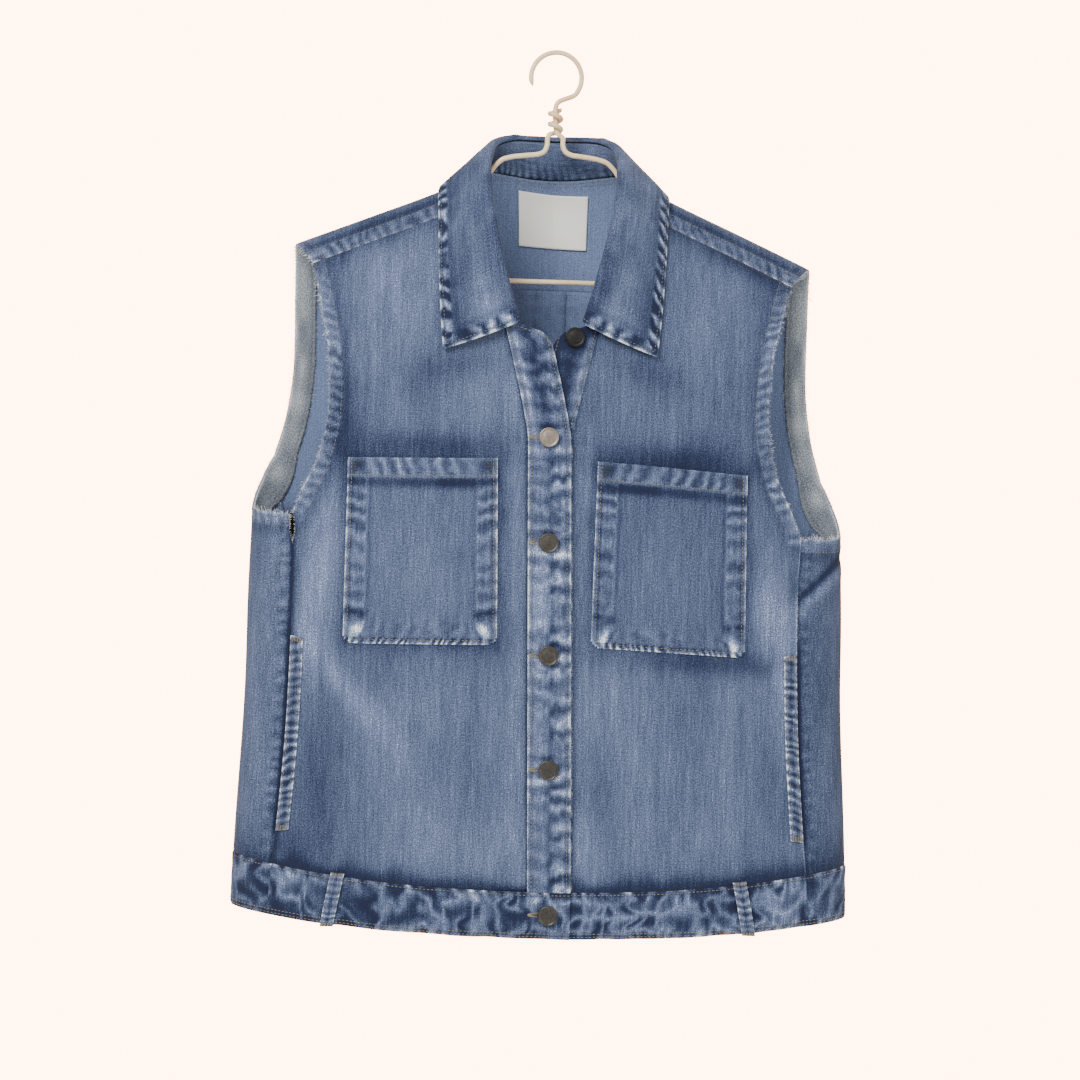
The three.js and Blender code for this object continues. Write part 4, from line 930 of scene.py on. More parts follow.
@dataclass
class Plackets:
    """The two strips down the opening; the one with the buttonholes laps over the other."""

    cell: float = 1.3

    def strip(self, over: bool) -> Shell:
        """One strip from its sewn edge to its free edge."""
        lean = -1 if over else 1
        v, u = spaced(485, self.cell)[:, None], spaced(38, self.cell)[None, :]
        width = 2 * PLACKET_HALF if over else UNDER_OUT + UNDER_IN
        sewn = lambda z: centre_x(z) + lean * ((PLACKET_HALF if over else UNDER_OUT) + spread_x(z))
        free = lambda z: centre_x(z) + lean * (spread_x(z) - (PLACKET_HALF if over else UNDER_IN))
        top = mix(SEWN_TOP, FREE_TOP, u) - 9 * np.maximum((u - 0.76) / 0.24, 0) ** 2.4
        level = mix(WAIST.front, top, v)
        x = mix(sewn(level), free(level), u)
        z = mix(seam_z(WAIST, FRONT, x) + EDGE_GAP, top, v)
        across = u * width + 0 * v
        from_top = top - z
        left, right = Pucker(15, 0.12, 140 + over, 0.8), Pucker(17, -0.08, 150 + over, 1.2)
        half = smooth(across, 0.46 * width, 0.58 * width)
        ripple = mix(0.55 * left(z, across), right(z, across), half)
        edge = np.minimum(across, width - across)
        wear = (
            0.53 + 0.25 * ripple
            - 0.15 * bump(across - 0.53 * width, 3.4) * (0.8 + 0.5 * STREAK(z / 14, 3.0))
        )
        wear = wear + 0.13 * bump(z + 478, 50) * (1 - half) + 0.06 * bump(z + 600, 60) * (1 - half)
        wear = (
            wear - 0.10 * bump(edge - 3.4, 1.5) + 0.26 * np.exp(-edge / 0.9)
            + 0.10 * fading(from_top, 1.2)
        )
        # Both strips are darker above the first button; the under strip's top is much darker, painted shade
        # where it folds in under the collar.
        wear = (
            wear - 0.07 * smooth(z, -345, -250)
            - (0 if over else 0.5) * fading(from_top, 16)
        )
        open_part = smooth(z, -352, -332)
        wear = wear + open_part * (0.15 * bump(across - 5, 4.5) - 0.13 * bump(across - 0.45 * width, 6))
        # Painted shadow of the over strip's free edge on the under strip.
        if not over:
            shaded = np.exp(-np.maximum(x - centre_x(z) - PLACKET_HALF + spread_x(z), 0) / 4.5)
            wear = wear - 0.36 * open_part * shaded
        for at in BUTTON_HEIGHTS[:4]:
            wear = (
                wear - 0.20 * bump(z - at - 9.5, 2.6) * bump(x - centre_x(z), 12)
                + 0.13 * bump(z - at + 10, 3.2)
            )
        high = 0.42 * ripple * smooth(edge, 0.5, 3) + rounded_edge(edge, 0.8) + rounded_edge(from_top, 0.7)
        high = high - 0.32 * bump(edge - 3.6, 0.9)
        low, face = (GAP, GAP + DOUBLE) if over else (-GAP - DOUBLE, -GAP - 0.35)
        name = "placket_over_denim" if over else "placket_under_denim"
        return over_chart(name, BODY.front, 1, x, z, low, face + high, wear,
                          fields={"across": across, "from_top": from_top + 0 * across})


YOKE_LAP = 0.25
BUTTON_HEIGHTS = (-339.0, -429.5, -526.0, -623.4, -747.0)
BAND_LOW, BAND_HIGH = -1.7, 0.6


@dataclass
class Waistband:
    """The waistband in three parts: two fronts that lap at the opening and one round the back."""

    cell: float = 1.5
    back_cell: float = 2.0
    tall: float = 42.0
    hand_over: float = 0.75
    no_end_near: float = 50.0

    def crumple(self, run: Array, up: Array) -> tuple[Array, Array]:
        """Marbled creases of the band, at run along it and up from its hem.

        Returns:
            The crease height from -1 to 1, and the wear that goes with it.
        """
        n, m = Noise(170), Noise(171)
        bent = run + 7 * n(run / 13, up / 10)
        ridge = 0.75 - 2.2 * np.abs(m(bent / 8.5, up / 13 + 0.5 * n(run / 15, 7.0)))
        broad = Noise(172)(run / 30, up / 24)
        rope = Pucker(12, 0.55, 173)(run, up)
        rope_low = Pucker(10, -0.5, 174)(run, up)
        near_top, near_hem = np.exp(-(self.tall - up) / 7), fading(up, 6)
        height = 0.62 * ridge + 0.3 * broad + 0.7 * near_top * rope + 0.6 * near_hem * rope_low
        wear = 0.42 + 0.27 * ridge + 0.10 * broad + 0.28 * near_top * rope + 0.24 * near_hem * rope_low
        return height, wear

    def lift(self, over: bool, x: Array) -> Array:
        """How far the overlapping front stands off where it laps."""
        return (DOUBLE + GAP + 0.1) * smooth(x, -50, -14) * over

    def shell(self, name: str, chart: Chart, turn: int, a: Array, z: Array, run: Array,
              lift: Array | float, ends: Array, steps: tuple[float, float] = (0.4, 0.4)) -> Shell:
        """A stretch of the band with its edges rounded."""
        up = self.tall * (z - z[0]) / (z[-1] - z[0])
        height, wear = self.crumple(run, up)
        edge = np.minimum(up, self.tall - up)
        wear = wear + 0.18 * fading(up, 0.9) - 0.10 * bump(edge - 2.6, 1.2)
        wear = wear + 0.2 * np.exp(-ends / 1.0)
        high = (
            BAND_HIGH + 0.55 * height * smooth(edge, 0, 4) + rounded_edge(edge, 0.6)
            + rounded_edge(ends, 0.6)
        )
        grain = np.stack([run, z], -1)
        return over_chart(name, chart, turn, a, z, BAND_LOW + lift, high + lift, wear, grain, steps=steps,
                          fields={"up": up})

    def front(self, sign: int) -> Shell:
        """One front part, from its free end to the side seam."""
        over = sign < 0
        free = 9 + PLACKET_HALF if over else 9 - UNDER_IN
        v, u = spaced(self.tall, self.cell)[:, None], spaced(245, self.cell)[None, :]
        seam = sign * (FRONT_SEAM(mix(HEM.side, WAIST.side, v)) - EDGE_GAP)
        x = mix(free, seam, u)
        hem = seam_z(HEM, FRONT, x) + 0.5 * Noise(176)(x / 14)
        z = mix(hem, seam_z(WAIST, FRONT, x) - EDGE_GAP, v)
        ends = np.abs(x - free)
        return self.shell(f"waistband_front_{hand(sign)}_denim", BODY.front, 1, x, z, x,
                          self.lift(over, x), ends)

    def back(self) -> Shell:
        """The part round both side folds and the back."""
        v = spaced(self.tall, self.back_cell)[:, None]
        level = mix(HEM.side, WAIST.side, v)
        aside, across = spaced(92, self.back_cell)[None, :], np.linspace(-1, 1, 190)[None, :]
        start = -BODY.side_angle(FRONT_SEAM(level) + EDGE_GAP, level)
        parts = []
        for sign in (-1, 1):
            angle = mix(start, self.hand_over, aside)
            if sign > 0:
                angle = angle[:, ::-1]
            x = BODY.side_x(angle, level)
            hem = np.where(angle < 0, seam_z(HEM, FRONT, x), seam_z(HEM, BACK, x))
            waist = np.where(angle < 0, seam_z(WAIST, FRONT, x), seam_z(WAIST, BACK, x))
            z = mix(hem, waist - EDGE_GAP, v)
            run = sign * (330 - angle * 78)
            ends = self.no_end_near + 0 * z
            parts.append(self.shell("", BODY.side(sign), sign, angle, z, run, 0.0, ends, (0.01, 1.0)))
        x = BODY.side_x(np.full_like(level, self.hand_over), level) * across
        z = mix(seam_z(HEM, BACK, x), seam_z(WAIST, BACK, x) - EDGE_GAP, v)
        run = 272 * across + 0 * v
        middle = self.shell("", BODY.back, -1, x, z, run, 0.0, self.no_end_near + 0 * z)
        right, left = parts
        join = lambda key: np.concatenate([getattr(right, key), getattr(middle, key)[:, 1:],
                                           getattr(left, key)[:, 1:]], 1)
        keys = ("middle", "normal", "low", "high", "wear", "grain")
        up = np.concatenate([right.fields["up"], middle.fields["up"][:, 1:], left.fields["up"][:, 1:]], 1)
        return Shell("waistband_back_denim", *[join(key) for key in keys], fields={"up": up})


# The collar: its roll line in space, then its edge by x, distance over the shoulder and lift.
COLLAR_ROWS = [
    (0, 35, -67, 0, 45, 3.2), (22, 30, -67.5, 32, 40, 3.2), (42, 18, -70, 64, 24, 3.4),
    (54.5, 4, -77.5, 90, 9, 4), (58, -10, -90, 99, -5, 3.8), (57.5, -27, -109, 99.3, -24, 3.2),
    (54, -40, -136, 98.5, -51, 3), (46.5, -49, -174, 97, -86, 3.4), (37, -52, -210, 94.5, -120, 4.2),
    (28.5, -52.5, -241, 92, -150, 4.6),
]


@dataclass
class Collar:
    """A turned-down collar: a stand sewn to the neck, and a leaf that rolls over it."""

    cell: float = 1.5
    roll: float = 3.4
    edge_band: float = 11.5

    def mirrored(self, points: Array) -> Array:
        """The points and, on the other side of the centre back, their mirrored ones."""
        return np.concatenate([points[:0:-1] * [-1, 1, 1], points])

    def stations(self, count: int) -> dict[str, Array]:
        """Sections of the collar from the wearer's right front end to the left one."""
        t = np.linspace(0, 1, count)
        neck = np.array([
            BODY.back(np.array(x, float), np.array(z, float)) if face == BACK
            else BODY.front(np.array(x, float), np.array(z, float)) for face, x, z in NECK_ROWS
        ])
        rows = np.array(COLLAR_ROWS, float)
        ex, w, lift = rows[:, 3], rows[:, 4], rows[:, 5]
        edge = BODY.yoke(ex, w) + normals_of(BODY.yoke, ex, w, 1) * lift[:, None]
        neck, roll, edge = (centripetal(self.mirrored(p), t) for p in (neck, rows[:, :3], edge))
        up = unit(roll - neck)
        out = edge - roll
        out = unit(out - (out * up).sum(1, keepdims=True) * up)
        top = roll - up * (self.roll + 1) - out * self.roll
        fall = edge - roll
        turn = np.arctan2((fall * out).sum(1), (fall * up).sum(1)) - 0.14
        return {"neck": neck, "top": top, "edge": edge, "up": up, "out": out, "turn": turn, "t": t}

    def from_line(self, name: str, line: Array, thick: Array | float, wear: Array, grain: Array,
                  lift: Array, fields: dict[str, Array]) -> Shell:
        """A shell of a given thickness about a middle surface."""
        along = np.gradient(line, axis=1)
        across = np.gradient(line, axis=0)
        n = unit(np.cross(along, across))
        ones = np.ones(line.shape[:2])
        return Shell(name, line, n, -thick / 2 * ones, thick / 2 * ones + lift, wear * ones, grain,
                     fields=fields)

    def stand(self) -> Shell:
        """The upright part round the neck."""
        s = self.stations(300)
        tall = np.linalg.norm(s["top"] - s["neck"], axis=1)[None, :]
        v = spaced(34, 1.8)[:, None]
        share = mix(0.8 / tall, 1 - GAP / tall, v)
        line = mix(s["neck"][None], s["top"][None], share[..., None])
        run = (s["t"] - 0.5)[None, :] * 520 + 0 * v
        up = v * tall
        ripple = Pucker(10, 0.3, 181)(run, up) * np.exp(-up / 9)
        wear = 0.42 + 0.20 * ripple + 0.05 * BLOTCH(run / 24, up / 14) + 0.10 * smooth(up, 8, 30)
        # Darker towards the front of the neck: painted shade inside the neck.
        wear = wear - 0.08 * bump(np.abs(run) - 150, 60)
        return self.from_line("collar_stand_denim", line, 2.0, wear, np.stack([up, run], -1),
                              0.2 * ripple, {"up": up})

    def leaf(self) -> Shell:
        """The part that rolls over and falls to the collar's edge and points."""
        s = self.stations(430)
        angle = spaced(14, 1.3)[:, None] * s["turn"][None, :]
        at = lambda p, a, b: p + s["up"] * a[..., None] + s["out"] * b[..., None]
        round_part = at(s["top"][None], 1 + self.roll * np.sin(angle), self.roll * (1 - np.cos(angle)))
        start = round_part[-1]
        reach = 0.4 * np.linalg.norm(s["edge"] - start, axis=1)
        knee = at(start, reach * np.cos(s["turn"]), reach * np.sin(s["turn"]))
        u = spaced(72, self.cell)[1:, None, None]
        fall = (1 - u) ** 2 * start[None] + 2 * u * (1 - u) * knee[None] + u**2 * s["edge"][None]
        line = np.concatenate([round_part, fall])
        down = np.concatenate([np.zeros((1, line.shape[1])), np.cumsum(np.linalg.norm(np.diff(line,
                axis=0), axis=2), 0)])
        to_edge = down[-1] - down
        run_line = np.concatenate([[0], np.cumsum(np.linalg.norm(np.diff(line[-1], axis=0), axis=1))])
        run = np.broadcast_to(run_line[None, :] - run_line[-1] / 2, to_edge.shape)
        to_end = run_line[-1] / 2 - np.abs(run)
        side_ripple = Pucker(13, 0.6, 190, 1.5)(run, to_edge) * smooth(-to_edge, -self.edge_band - 1,
                -self.edge_band + 3)
        end_ripple = Pucker(15, 0.5, 192, 1.1)(to_edge, to_end) * smooth(-to_end, -self.edge_band - 2,
                -self.edge_band + 4)
        ripple = np.where(to_end < to_edge, end_ripple, side_ripple)
        edge = np.minimum(to_edge, to_end)
        band = smooth(-edge, -self.edge_band - 1, -self.edge_band + 2)
        wear = 0.46 + 0.07 * BLOTCH(run / 22 + 3, to_edge / 20) + 0.04 * CLOUD(run / 8, to_edge / 9)
        wear = wear + 0.31 * ripple - 0.05 * band - 0.08 * bump(edge - self.edge_band - 2.5, 3)
        wear = wear + 0.36 * np.exp(-edge / 1.0) - 0.16 * bump(edge - 3.4, 1.1)
        front = smooth(np.abs(run), 110, 170)
        wear = wear - front * 0.09 * bump(to_edge - 62, 12) + front * 0.06 * bump(to_edge - 38, 16)
        wear = wear + 0.10 * bump(to_end - 12, 16) * bump(to_edge - 48, 16) + 0.05 * bump(down - 8, 6)
        height = 0.6 * ripple * smooth(edge, 0.6, 3) + rounded_edge(edge, 0.7) - 0.3 * bump(edge - 3.4, 0.9)
        for sign, place, amount in ((-1, 178, -2.0), (1, 182, -2.2), (-1, 120, 1.0), (1, 140, 1.1),
                                    (-1, 60, 0.8), (1, 70, 0.8)):
            height = height + amount * bump(run - sign * place - 0.4 * down, 5.5) * bump(down - 9, 12)
        return self.from_line("collar_leaf_denim", line, 2.2, wear, np.stack([to_edge, run], -1), height,
                              {"edge": to_edge, "end": to_end, "run": run})


@dataclass
class Patches:
    """What is sewn on the fronts: chest pockets, side pocket welts and belt loops."""

    cell: float = 1.4
    fold: float = 17.0
    welt_wide: float = 11.0
    welt_tall: float = 165.0

    def grid(self, corners: tuple, cell: float,
             sign: int) -> tuple[Array, Array, Array, Array, float, float]:
        """Sewing coordinates over four corners, with distances from the inner and bottom edges."""
        low_in, low_out, top_in, top_out = (np.array(c, float) for c in corners)
        wide, tall = low_out[0] - low_in[0], top_in[1] - low_in[1]
        v, u = spaced(tall, cell)[:, None, None], spaced(wide, cell)[None, :, None]
        place = mix(mix(low_in, low_out, u), mix(top_in, top_out, u), v)
        x, z = sign * place[..., 0], place[..., 1]
        return x, z, wide * u[..., 0] + 0 * x, tall * v[..., 0] + 0 * x, wide, tall

    def pocket(self, sign: int) -> Shell:
        """A chest pocket with its folded hem band, faded middle and the ghosts of its turned edges."""
        x, z, a, b, wide, tall = self.grid(POCKET_CORNERS, self.cell, sign)
        side, bottom, down = np.minimum(a, wide - a), b, tall - b
        near = np.minimum(side, bottom)
        round_corner = 5.0
        cut = (
            np.maximum(round_corner - side, 0) ** 2
            + np.maximum(round_corner - bottom, 0) ** 2 <= round_corner**2
        )
        has = (cut[1:, 1:] & cut[:-1, :-1] & cut[1:, :-1] & cut[:-1, 1:])
        hem = down < self.fold
        side_ripple = Pucker(15, 0.15, 200 + sign, 0.8)(b, side) * (side < self.fold)
        low_ripple = Pucker(6, 0.5, 202 + sign, 1.5)(a, bottom) * (bottom < 5.5)
        ghost_ripple = Pucker(13, 0.1, 206 + sign, 0.8)(a, bottom) * bump(bottom - 13, 8)
        hem_ripple = Pucker(13.5, 0.35, 204 + sign, 1.3)(a, down) * smooth(-down, -self.fold, -14)
        corner_tack = bump(side - 9, 7) * hem
        wear = (
            (0.50 if sign < 0 else 0.46) + 0.05 * bump(a - wide / 2, 40) * bump(b - 66, 50)
            + faded_and_shaded(x, z, 0.0) * 0.4
        )
        wear = (
            wear
            + np.where(hem, 0.03 + 0.11 * hem_ripple * (1 - 0.8 * corner_tack) * (1
                    + 0.6 * CLOUD(a / 25, down / 12)), 0)
        )
        ghost = ~hem & (bottom > 6)
        wear = (
            wear
            + ghost * (0.10 * bump(side - 17.5, 1.1) - 0.07 * bump(side - 20.5, 2.2)) * (bottom > 12)
        )
        wear = wear + np.where(~hem, 0.19 * side_ripple + 0.30 * low_ripple + 0.12 * ghost_ripple, 0)
        # Painted shadow in a band below the hem's folded edge.
        wear = wear - 0.24 * bump(down - 21.5, 4.5) * (1 + 0.5 * CLOUD(a / 12, 5.0)) * ~hem
        wear = (
            wear - 0.14 * bump(near - 4.2, 1.3) * ~hem + 0.36 * np.exp(-near / 1.0)
            + 0.08 * np.exp(-down / 1.2)
        )
        wear = wear + 0.42 * bump(side - 9 - 0.25 * bottom, 4.5) * bump(bottom - 10, 8)
        wear = (
            wear - 0.24 * bump(side - self.fold, 3) * bump(bottom - 25, 4)
            - 0.26 * bump(side - 5, 6) * bump(bottom - 27, 2.2)
        )
        wear = (
            wear - 0.22 * bump(side - 12 - 0.5 * bottom, 1.6) * bump(bottom - 8, 6)
            - 0.20 * corner_tack * bump(down - 7, 6)
        )
        height = (
            0.8 * smooth(-down, -17.4, -16.6) + 0.45 * side_ripple * ~hem + 0.5 * low_ripple
            + 0.4 * hem_ripple
        )
        height = height + rounded_edge(np.minimum(near, down), 0.7) - 0.25 * bump(near - 3.6, 0.9)
        return over_chart(f"chest_pocket_{hand(sign)}_denim", BODY.front, 1, x, z, GAP,
                          GAP + CLOTH + height, wear, has=has,
                          fields={"side": a, "bottom": b, "wide": wide, "tall": tall})

    def welt(self, sign: int) -> Shell:
        """The narrow welt of a side pocket, along the side seam."""
        v, u = spaced(self.welt_tall, 1.0)[:, None], spaced(self.welt_wide, 1.0)[None, :]
        z = mix(-683.0, -518.0, v) + mix(1.5, 0.0, u) * (1 - 2 * v)
        x = sign * (FRONT_SEAM(z) - 0.6 - self.welt_wide * (1 - u))
        across, run = self.welt_wide * u + 0 * v, self.welt_tall * v + 0 * u
        ripple = Pucker(8, 0.3, 210 + sign, 1.1)(run, across)
        edge = np.minimum(np.minimum(across, self.welt_wide - across), np.minimum(run, self.welt_tall - run))
        wear = 0.50 + 0.22 * ripple + 0.32 * np.exp(-edge / 0.8) - 0.14 * bump(across - 5.5, 1.6)
        height = 0.35 * ripple * smooth(edge, 0, 2) + rounded_edge(edge, 0.6, 0.8)
        return over_chart(f"pocket_welt_{hand(sign)}_denim", BODY.front, 1, x, z, GAP, GAP + 1.8 + height,
                          wear, fields={"across": across, "run": run})

    def loop(self, sign: int) -> Shell:
        """A belt loop that stands off the band between its two tacks."""
        corners = ((175.25, -762.4), (186.75, -763), (166.25, -716.8), (177.75, -716))
        x, z, a, b, wide, tall = self.grid(corners, 0.9, sign)
        v = b / tall
        base = BAND_HIGH + GAP + 0.35 + 1.6 * np.sin(math.pi * np.clip(v, 0, 1)) ** 0.7
        edge = np.minimum(a, wide - a)
        ripple = Pucker(5.5, 0.1, 220 + sign, 1.2)(b, edge)
        wear = 0.53 + 0.17 * ripple + 0.22 * np.exp(-edge / 0.8) - 0.18 * bump(a - wide / 2, 1.3)
        height = 0.25 * ripple + rounded_edge(edge, 0.5, 0.7)
        return over_chart(f"belt_loop_{hand(sign)}_denim", BODY.front, 1, x, z, base, base + 1.5 + height,
                          wear, fields={"across": a, "run": b})

    def label(self) -> Shell:
        """The blank label inside the back neck."""
        v, u = spaced(49, 1.5)[:, None], spaced(66, 1.5)[None, :]
        x = mix(mix(-31.1, 30.9, u), mix(-32.6, 31.8, u), v)
        z = mix(mix(-163.7, -166.5, u), mix(-114.9, -118.4, u), v)
        wave = 0.35 * Noise(231)(x / 16, z / 22) + 0.25 * bump(z + 140 - 0.12 * x, 3.5) * smooth(-x, 0, 20)
        high = -CLOTH - 0.8
        return over_chart("neck_label_satin", BODY.back, -1, x, z, high - 0.9 - wave, high - 0.1, 0.5)


@dataclass
class ArmholeFacings:
    """The raw-edged facing inside each armhole, whose wrong side shows through the armhole."""

    width: float = 18.0
    thick: float = 1.0
    gap: float = 0.5
    cell: float = 1.6
    front_run: float = 226.0
    back_run: float = 143.0
    under_run: float = 95.0

    def shell(self, sign: int) -> Shell:
        """The whole strip, up the front from the side seam, over the shoulder and down the back."""
        t = spaced(self.width, self.cell)[:, None] * 0.98 + 0.02
        front = at_shares(dense_curve(FRONT_ARMHOLE), spaced(self.front_run, self.cell))
        back = at_shares(dense_curve(BACK_ARMHOLE), spaced(self.back_run, self.cell))[::-1]
        inside, apart, low = self.inset(front), EDGE_GAP + rip_x(sign, ARM_TOP), ARM_TOP - self.width
        start = smooth(-np.arange(len(front)), -11, 0)[:, None]
        front = front - [apart, 0] * start
        inside = mix(inside, np.array([FRONT_SEAM(low) - apart, low]), start)
        parts = [self.part(BODY.front, 1, sign, front, inside, t)]
        w_front, w_back = -(FRONT_YOKE + RIDGE_EXTRA), float(BODY.over_ridge(SHOULDER_X, -223.0))
        w = np.linspace(w_front, w_back, 48)
        tip = np.stack([SHOULDER_END(w), w], 1)
        parts.append(self.part(BODY.yoke, 1, sign, tip, tip - [self.width, 0], t))
        parts.append(self.part(BODY.back, -1, sign, back, self.inset(back), t))
        u = spaced(self.under_run, self.cell)[::-1]
        z = UNDERARM(u)
        begin = -float(BODY.side_angle(FRONT_SEAM(ARM_TOP) + EDGE_GAP + rip_x(sign, ARM_TOP), ARM_TOP))
        angle = mix(begin, float(BODY.side_angle(243.5, BACK_ARM_TOP)), u)
        under = np.stack([angle, z], 1)
        parts.append(self.part(BODY.side(sign), sign, 1, under, self.inset_round(under, u, sign), t,
                               (0.01, 1.0)))
        middle, normal = parts[0]
        for points, turned in parts[1:]:
            seam = (middle[:, -1:] + points[:, :1]) / 2
            middle = np.concatenate([middle[:, :-1], seam, points[:, 1:]], 1)
            shared = unit(normal[:, -1:] + turned[:, :1])
            normal = np.concatenate([normal[:, :-1], shared, turned[:, 1:]], 1)
        middle = self.evened(middle, t)
        run = length_along(middle[0])[None, :] + 0 * t
        across = t * self.width + 0 * run
        ragged = 0.5 * Noise(240 + sign)(run / 2.2) * (t > 0.99)
        high = -CLOTH - self.gap + 0 * across
        wear = 0.52 + 0.10 * Noise(242)(run / 16, across / 7) + 0.16 * np.exp(-(self.width - across) / 1.0)
        wear = wear + 0.18 * np.exp(-across / 1.4) - 0.12 * bump(across - 15.5, 1.0)
        shade = behind_rip(sign, middle[..., 0], middle[..., 2]) * (middle[..., 1] > 0)
        return Shell(f"armhole_facing_{hand(sign)}_denim", middle, normal, high - self.thick + ragged,
                     high, wear, np.stack([across, run], -1), inner_contrast=1.0, inner_shade=shade)

    def inset(self, edge: Array) -> Array:
        """The edge moved into the panel by the facing's width."""
        d = np.gradient(edge, axis=0)
        d = d * np.sign(d[:, 1:]) / np.linalg.norm(d, axis=1, keepdims=True)
        return edge + self.width * np.stack([-d[:, 1], d[:, 0]], 1)

    def inset_round(self, edge: Array, u: Array, sign: int) -> Array:
        """The underarm's edge moved down in front and towards the back behind, by the facing's width."""
        points = BODY.side(sign)(edge[:, 0], edge[:, 1])
        level = np.hypot(*np.gradient(points[:, :2], axis=0).T) + 1e-6
        per_angle = level / np.maximum(np.abs(np.gradient(edge[:, 0])), 1e-6)
        back = smooth(u, 0.1, 0.5)
        return edge + self.width * np.stack([back / per_angle, back * 0.35 - 1], 1)

    def evened(self, middle: Array, t: Array, half: int = 9) -> Array:
        """The strip with its inner rows smoothed, so that it turns the underarm without a corner."""
        weights = np.hanning(2 * half + 3)[1:-1]
        padded = np.pad(middle, ((0, 0), (half, half), (0, 0)), mode="edge")
        windows = np.lib.stride_tricks.sliding_window_view(padded, 2 * half + 1, axis=1)
        even = windows @ (weights / weights.sum())
        ends = np.minimum(np.arange(middle.shape[1]), np.arange(middle.shape[1])[::-1]) / half
        share = (t * np.clip(ends, 0, 1)[None, :])[..., None]
        return mix(middle, even, share)

    def part(self, chart: Chart, turn: int, sign: int, edge: Array, inside: Array, t: Array,
             steps: tuple[float, float] = (0.4, 0.4)) -> tuple[Array, Array]:
        """Points and normals of the stretch that lies on one chart."""
        a, b = sign * mix(edge[:, 0], inside[:, 0], t), mix(edge[:, 1], inside[:, 1], t)
        return chart(a, b), normals_of(chart, a, b, turn, *steps)


class Socket:
    """A shader socket that takes part in Python expressions by adding Math nodes."""

    def __init__(self, tree: bpy.types.NodeTree, link: bpy.types.NodeSocket) -> None:
        """Args: tree: the node tree. link: the output that this stands for."""
        self.tree, self.link = tree, link

    def math(self, operation: str, *others: "Socket | float") -> "Socket":
        """A Math node on this socket and others."""
        return add_node(self.tree, "ShaderNodeMath", {"operation": operation},
                        {k + 1: o for k, o in enumerate(others)} | {0: self})

    def __add__(self, other: "Socket | float") -> "Socket":
        """The sum."""
        return self.math("ADD", other)

    def __sub__(self, other: "Socket | float") -> "Socket":
        """The difference."""
        return self.math("SUBTRACT", other)

    def __mul__(self, other: "Socket | float") -> "Socket":
        """The product."""
        return self.math("MULTIPLY", other)

    def __rsub__(self, other: float) -> "Socket":
        """A number less this socket."""
        return add_node(self.tree, "ShaderNodeMath", {"operation": "SUBTRACT"}, {0: other, 1: self})

    __radd__ = __add__
    __rmul__ = __mul__


def add_node(tree: bpy.types.NodeTree, kind: str, settings: dict | None = None, inputs: dict | None = None,
             out: int | str = 0) -> Socket:
    """Adds a node.

    Args:
        tree: the node tree.
        kind: the node's type.
        settings: properties set first; "ramp" holds a ramp's stops.
        inputs: values or sockets by the input's name or number.
        out: which output to hand back.

    Returns:
        The chosen output.
    """
    node = tree.nodes.new(kind)
    for key, value in (settings or {}).items():
        if key == "ramp":
            fill_ramp(node.color_ramp, value)
        else:
            setattr(node, key, value)
    for key, value in (inputs or {}).items():
        if isinstance(value, Socket):
            tree.links.new(value.link, node.inputs[key])
        else:
            node.inputs[key].default_value = value
    return Socket(tree, node.outputs[out]) if len(node.outputs) else Socket(tree, None)


def fill_ramp(ramp: bpy.types.ColorRamp, stops: list[tuple[float, tuple]]) -> None:
    """Sets a ramp's stops from places and linear colours."""
    while len(ramp.elements) < len(stops):
        ramp.elements.new(0.5)
    for element, (place, colour) in zip(ramp.elements, stops):
        element.position = place
        element.color = colour


# How dark a plain card must be to show as a given tone under the studio's light: the logarithm of
# its reflectance is a cubic of the tone.
TONE_CURVE = (24.29, -36.35, 22.62, -7.40)
BRIGHTEST = 0.9


def reflectance(red: float, green: float, blue: float) -> tuple[float, float, float, float]:
    """The reflectance that shows as a given colour, in bytes, under the studio's light."""
    cubic, square, line, start = TONE_CURVE
    one = lambda c: min(math.exp(((cubic * c + square) * c + line) * c + start), BRIGHTEST)
    return (one(red / 255), one(green / 255), min(one(blue / 255) * 1.06, BRIGHTEST), 1.0)


def new_material(name: str) -> tuple[bpy.types.Material, bpy.types.NodeTree]:
    """A material with an empty node tree."""
    material = bpy.data.materials.new(name)
    material.use_nodes = True
    material.node_tree.nodes.clear()
    return material, material.node_tree


def finish_material(tree: bpy.types.NodeTree, colour: Socket | tuple, rough: Socket | float,
                    height: Socket | None, bump_distance: float = 0.0003, bump_strength: float = 0.5,
**values: float | tuple) -> None:
    """Ends a tree in a Principled shader with a bump."""
    inputs = {"Base Color": colour, "Roughness": rough}
    if height is not None:
        inputs["Normal"] = add_node(
            tree, "ShaderNodeBump", {}, {"Height": height, "Distance": bump_distance,
                                         "Strength": bump_strength}
        )
    inputs |= values
    shader = add_node(tree, "ShaderNodeBsdfPrincipled", {}, inputs)
    add_node(tree, "ShaderNodeOutputMaterial", {}, {"Surface": shader})


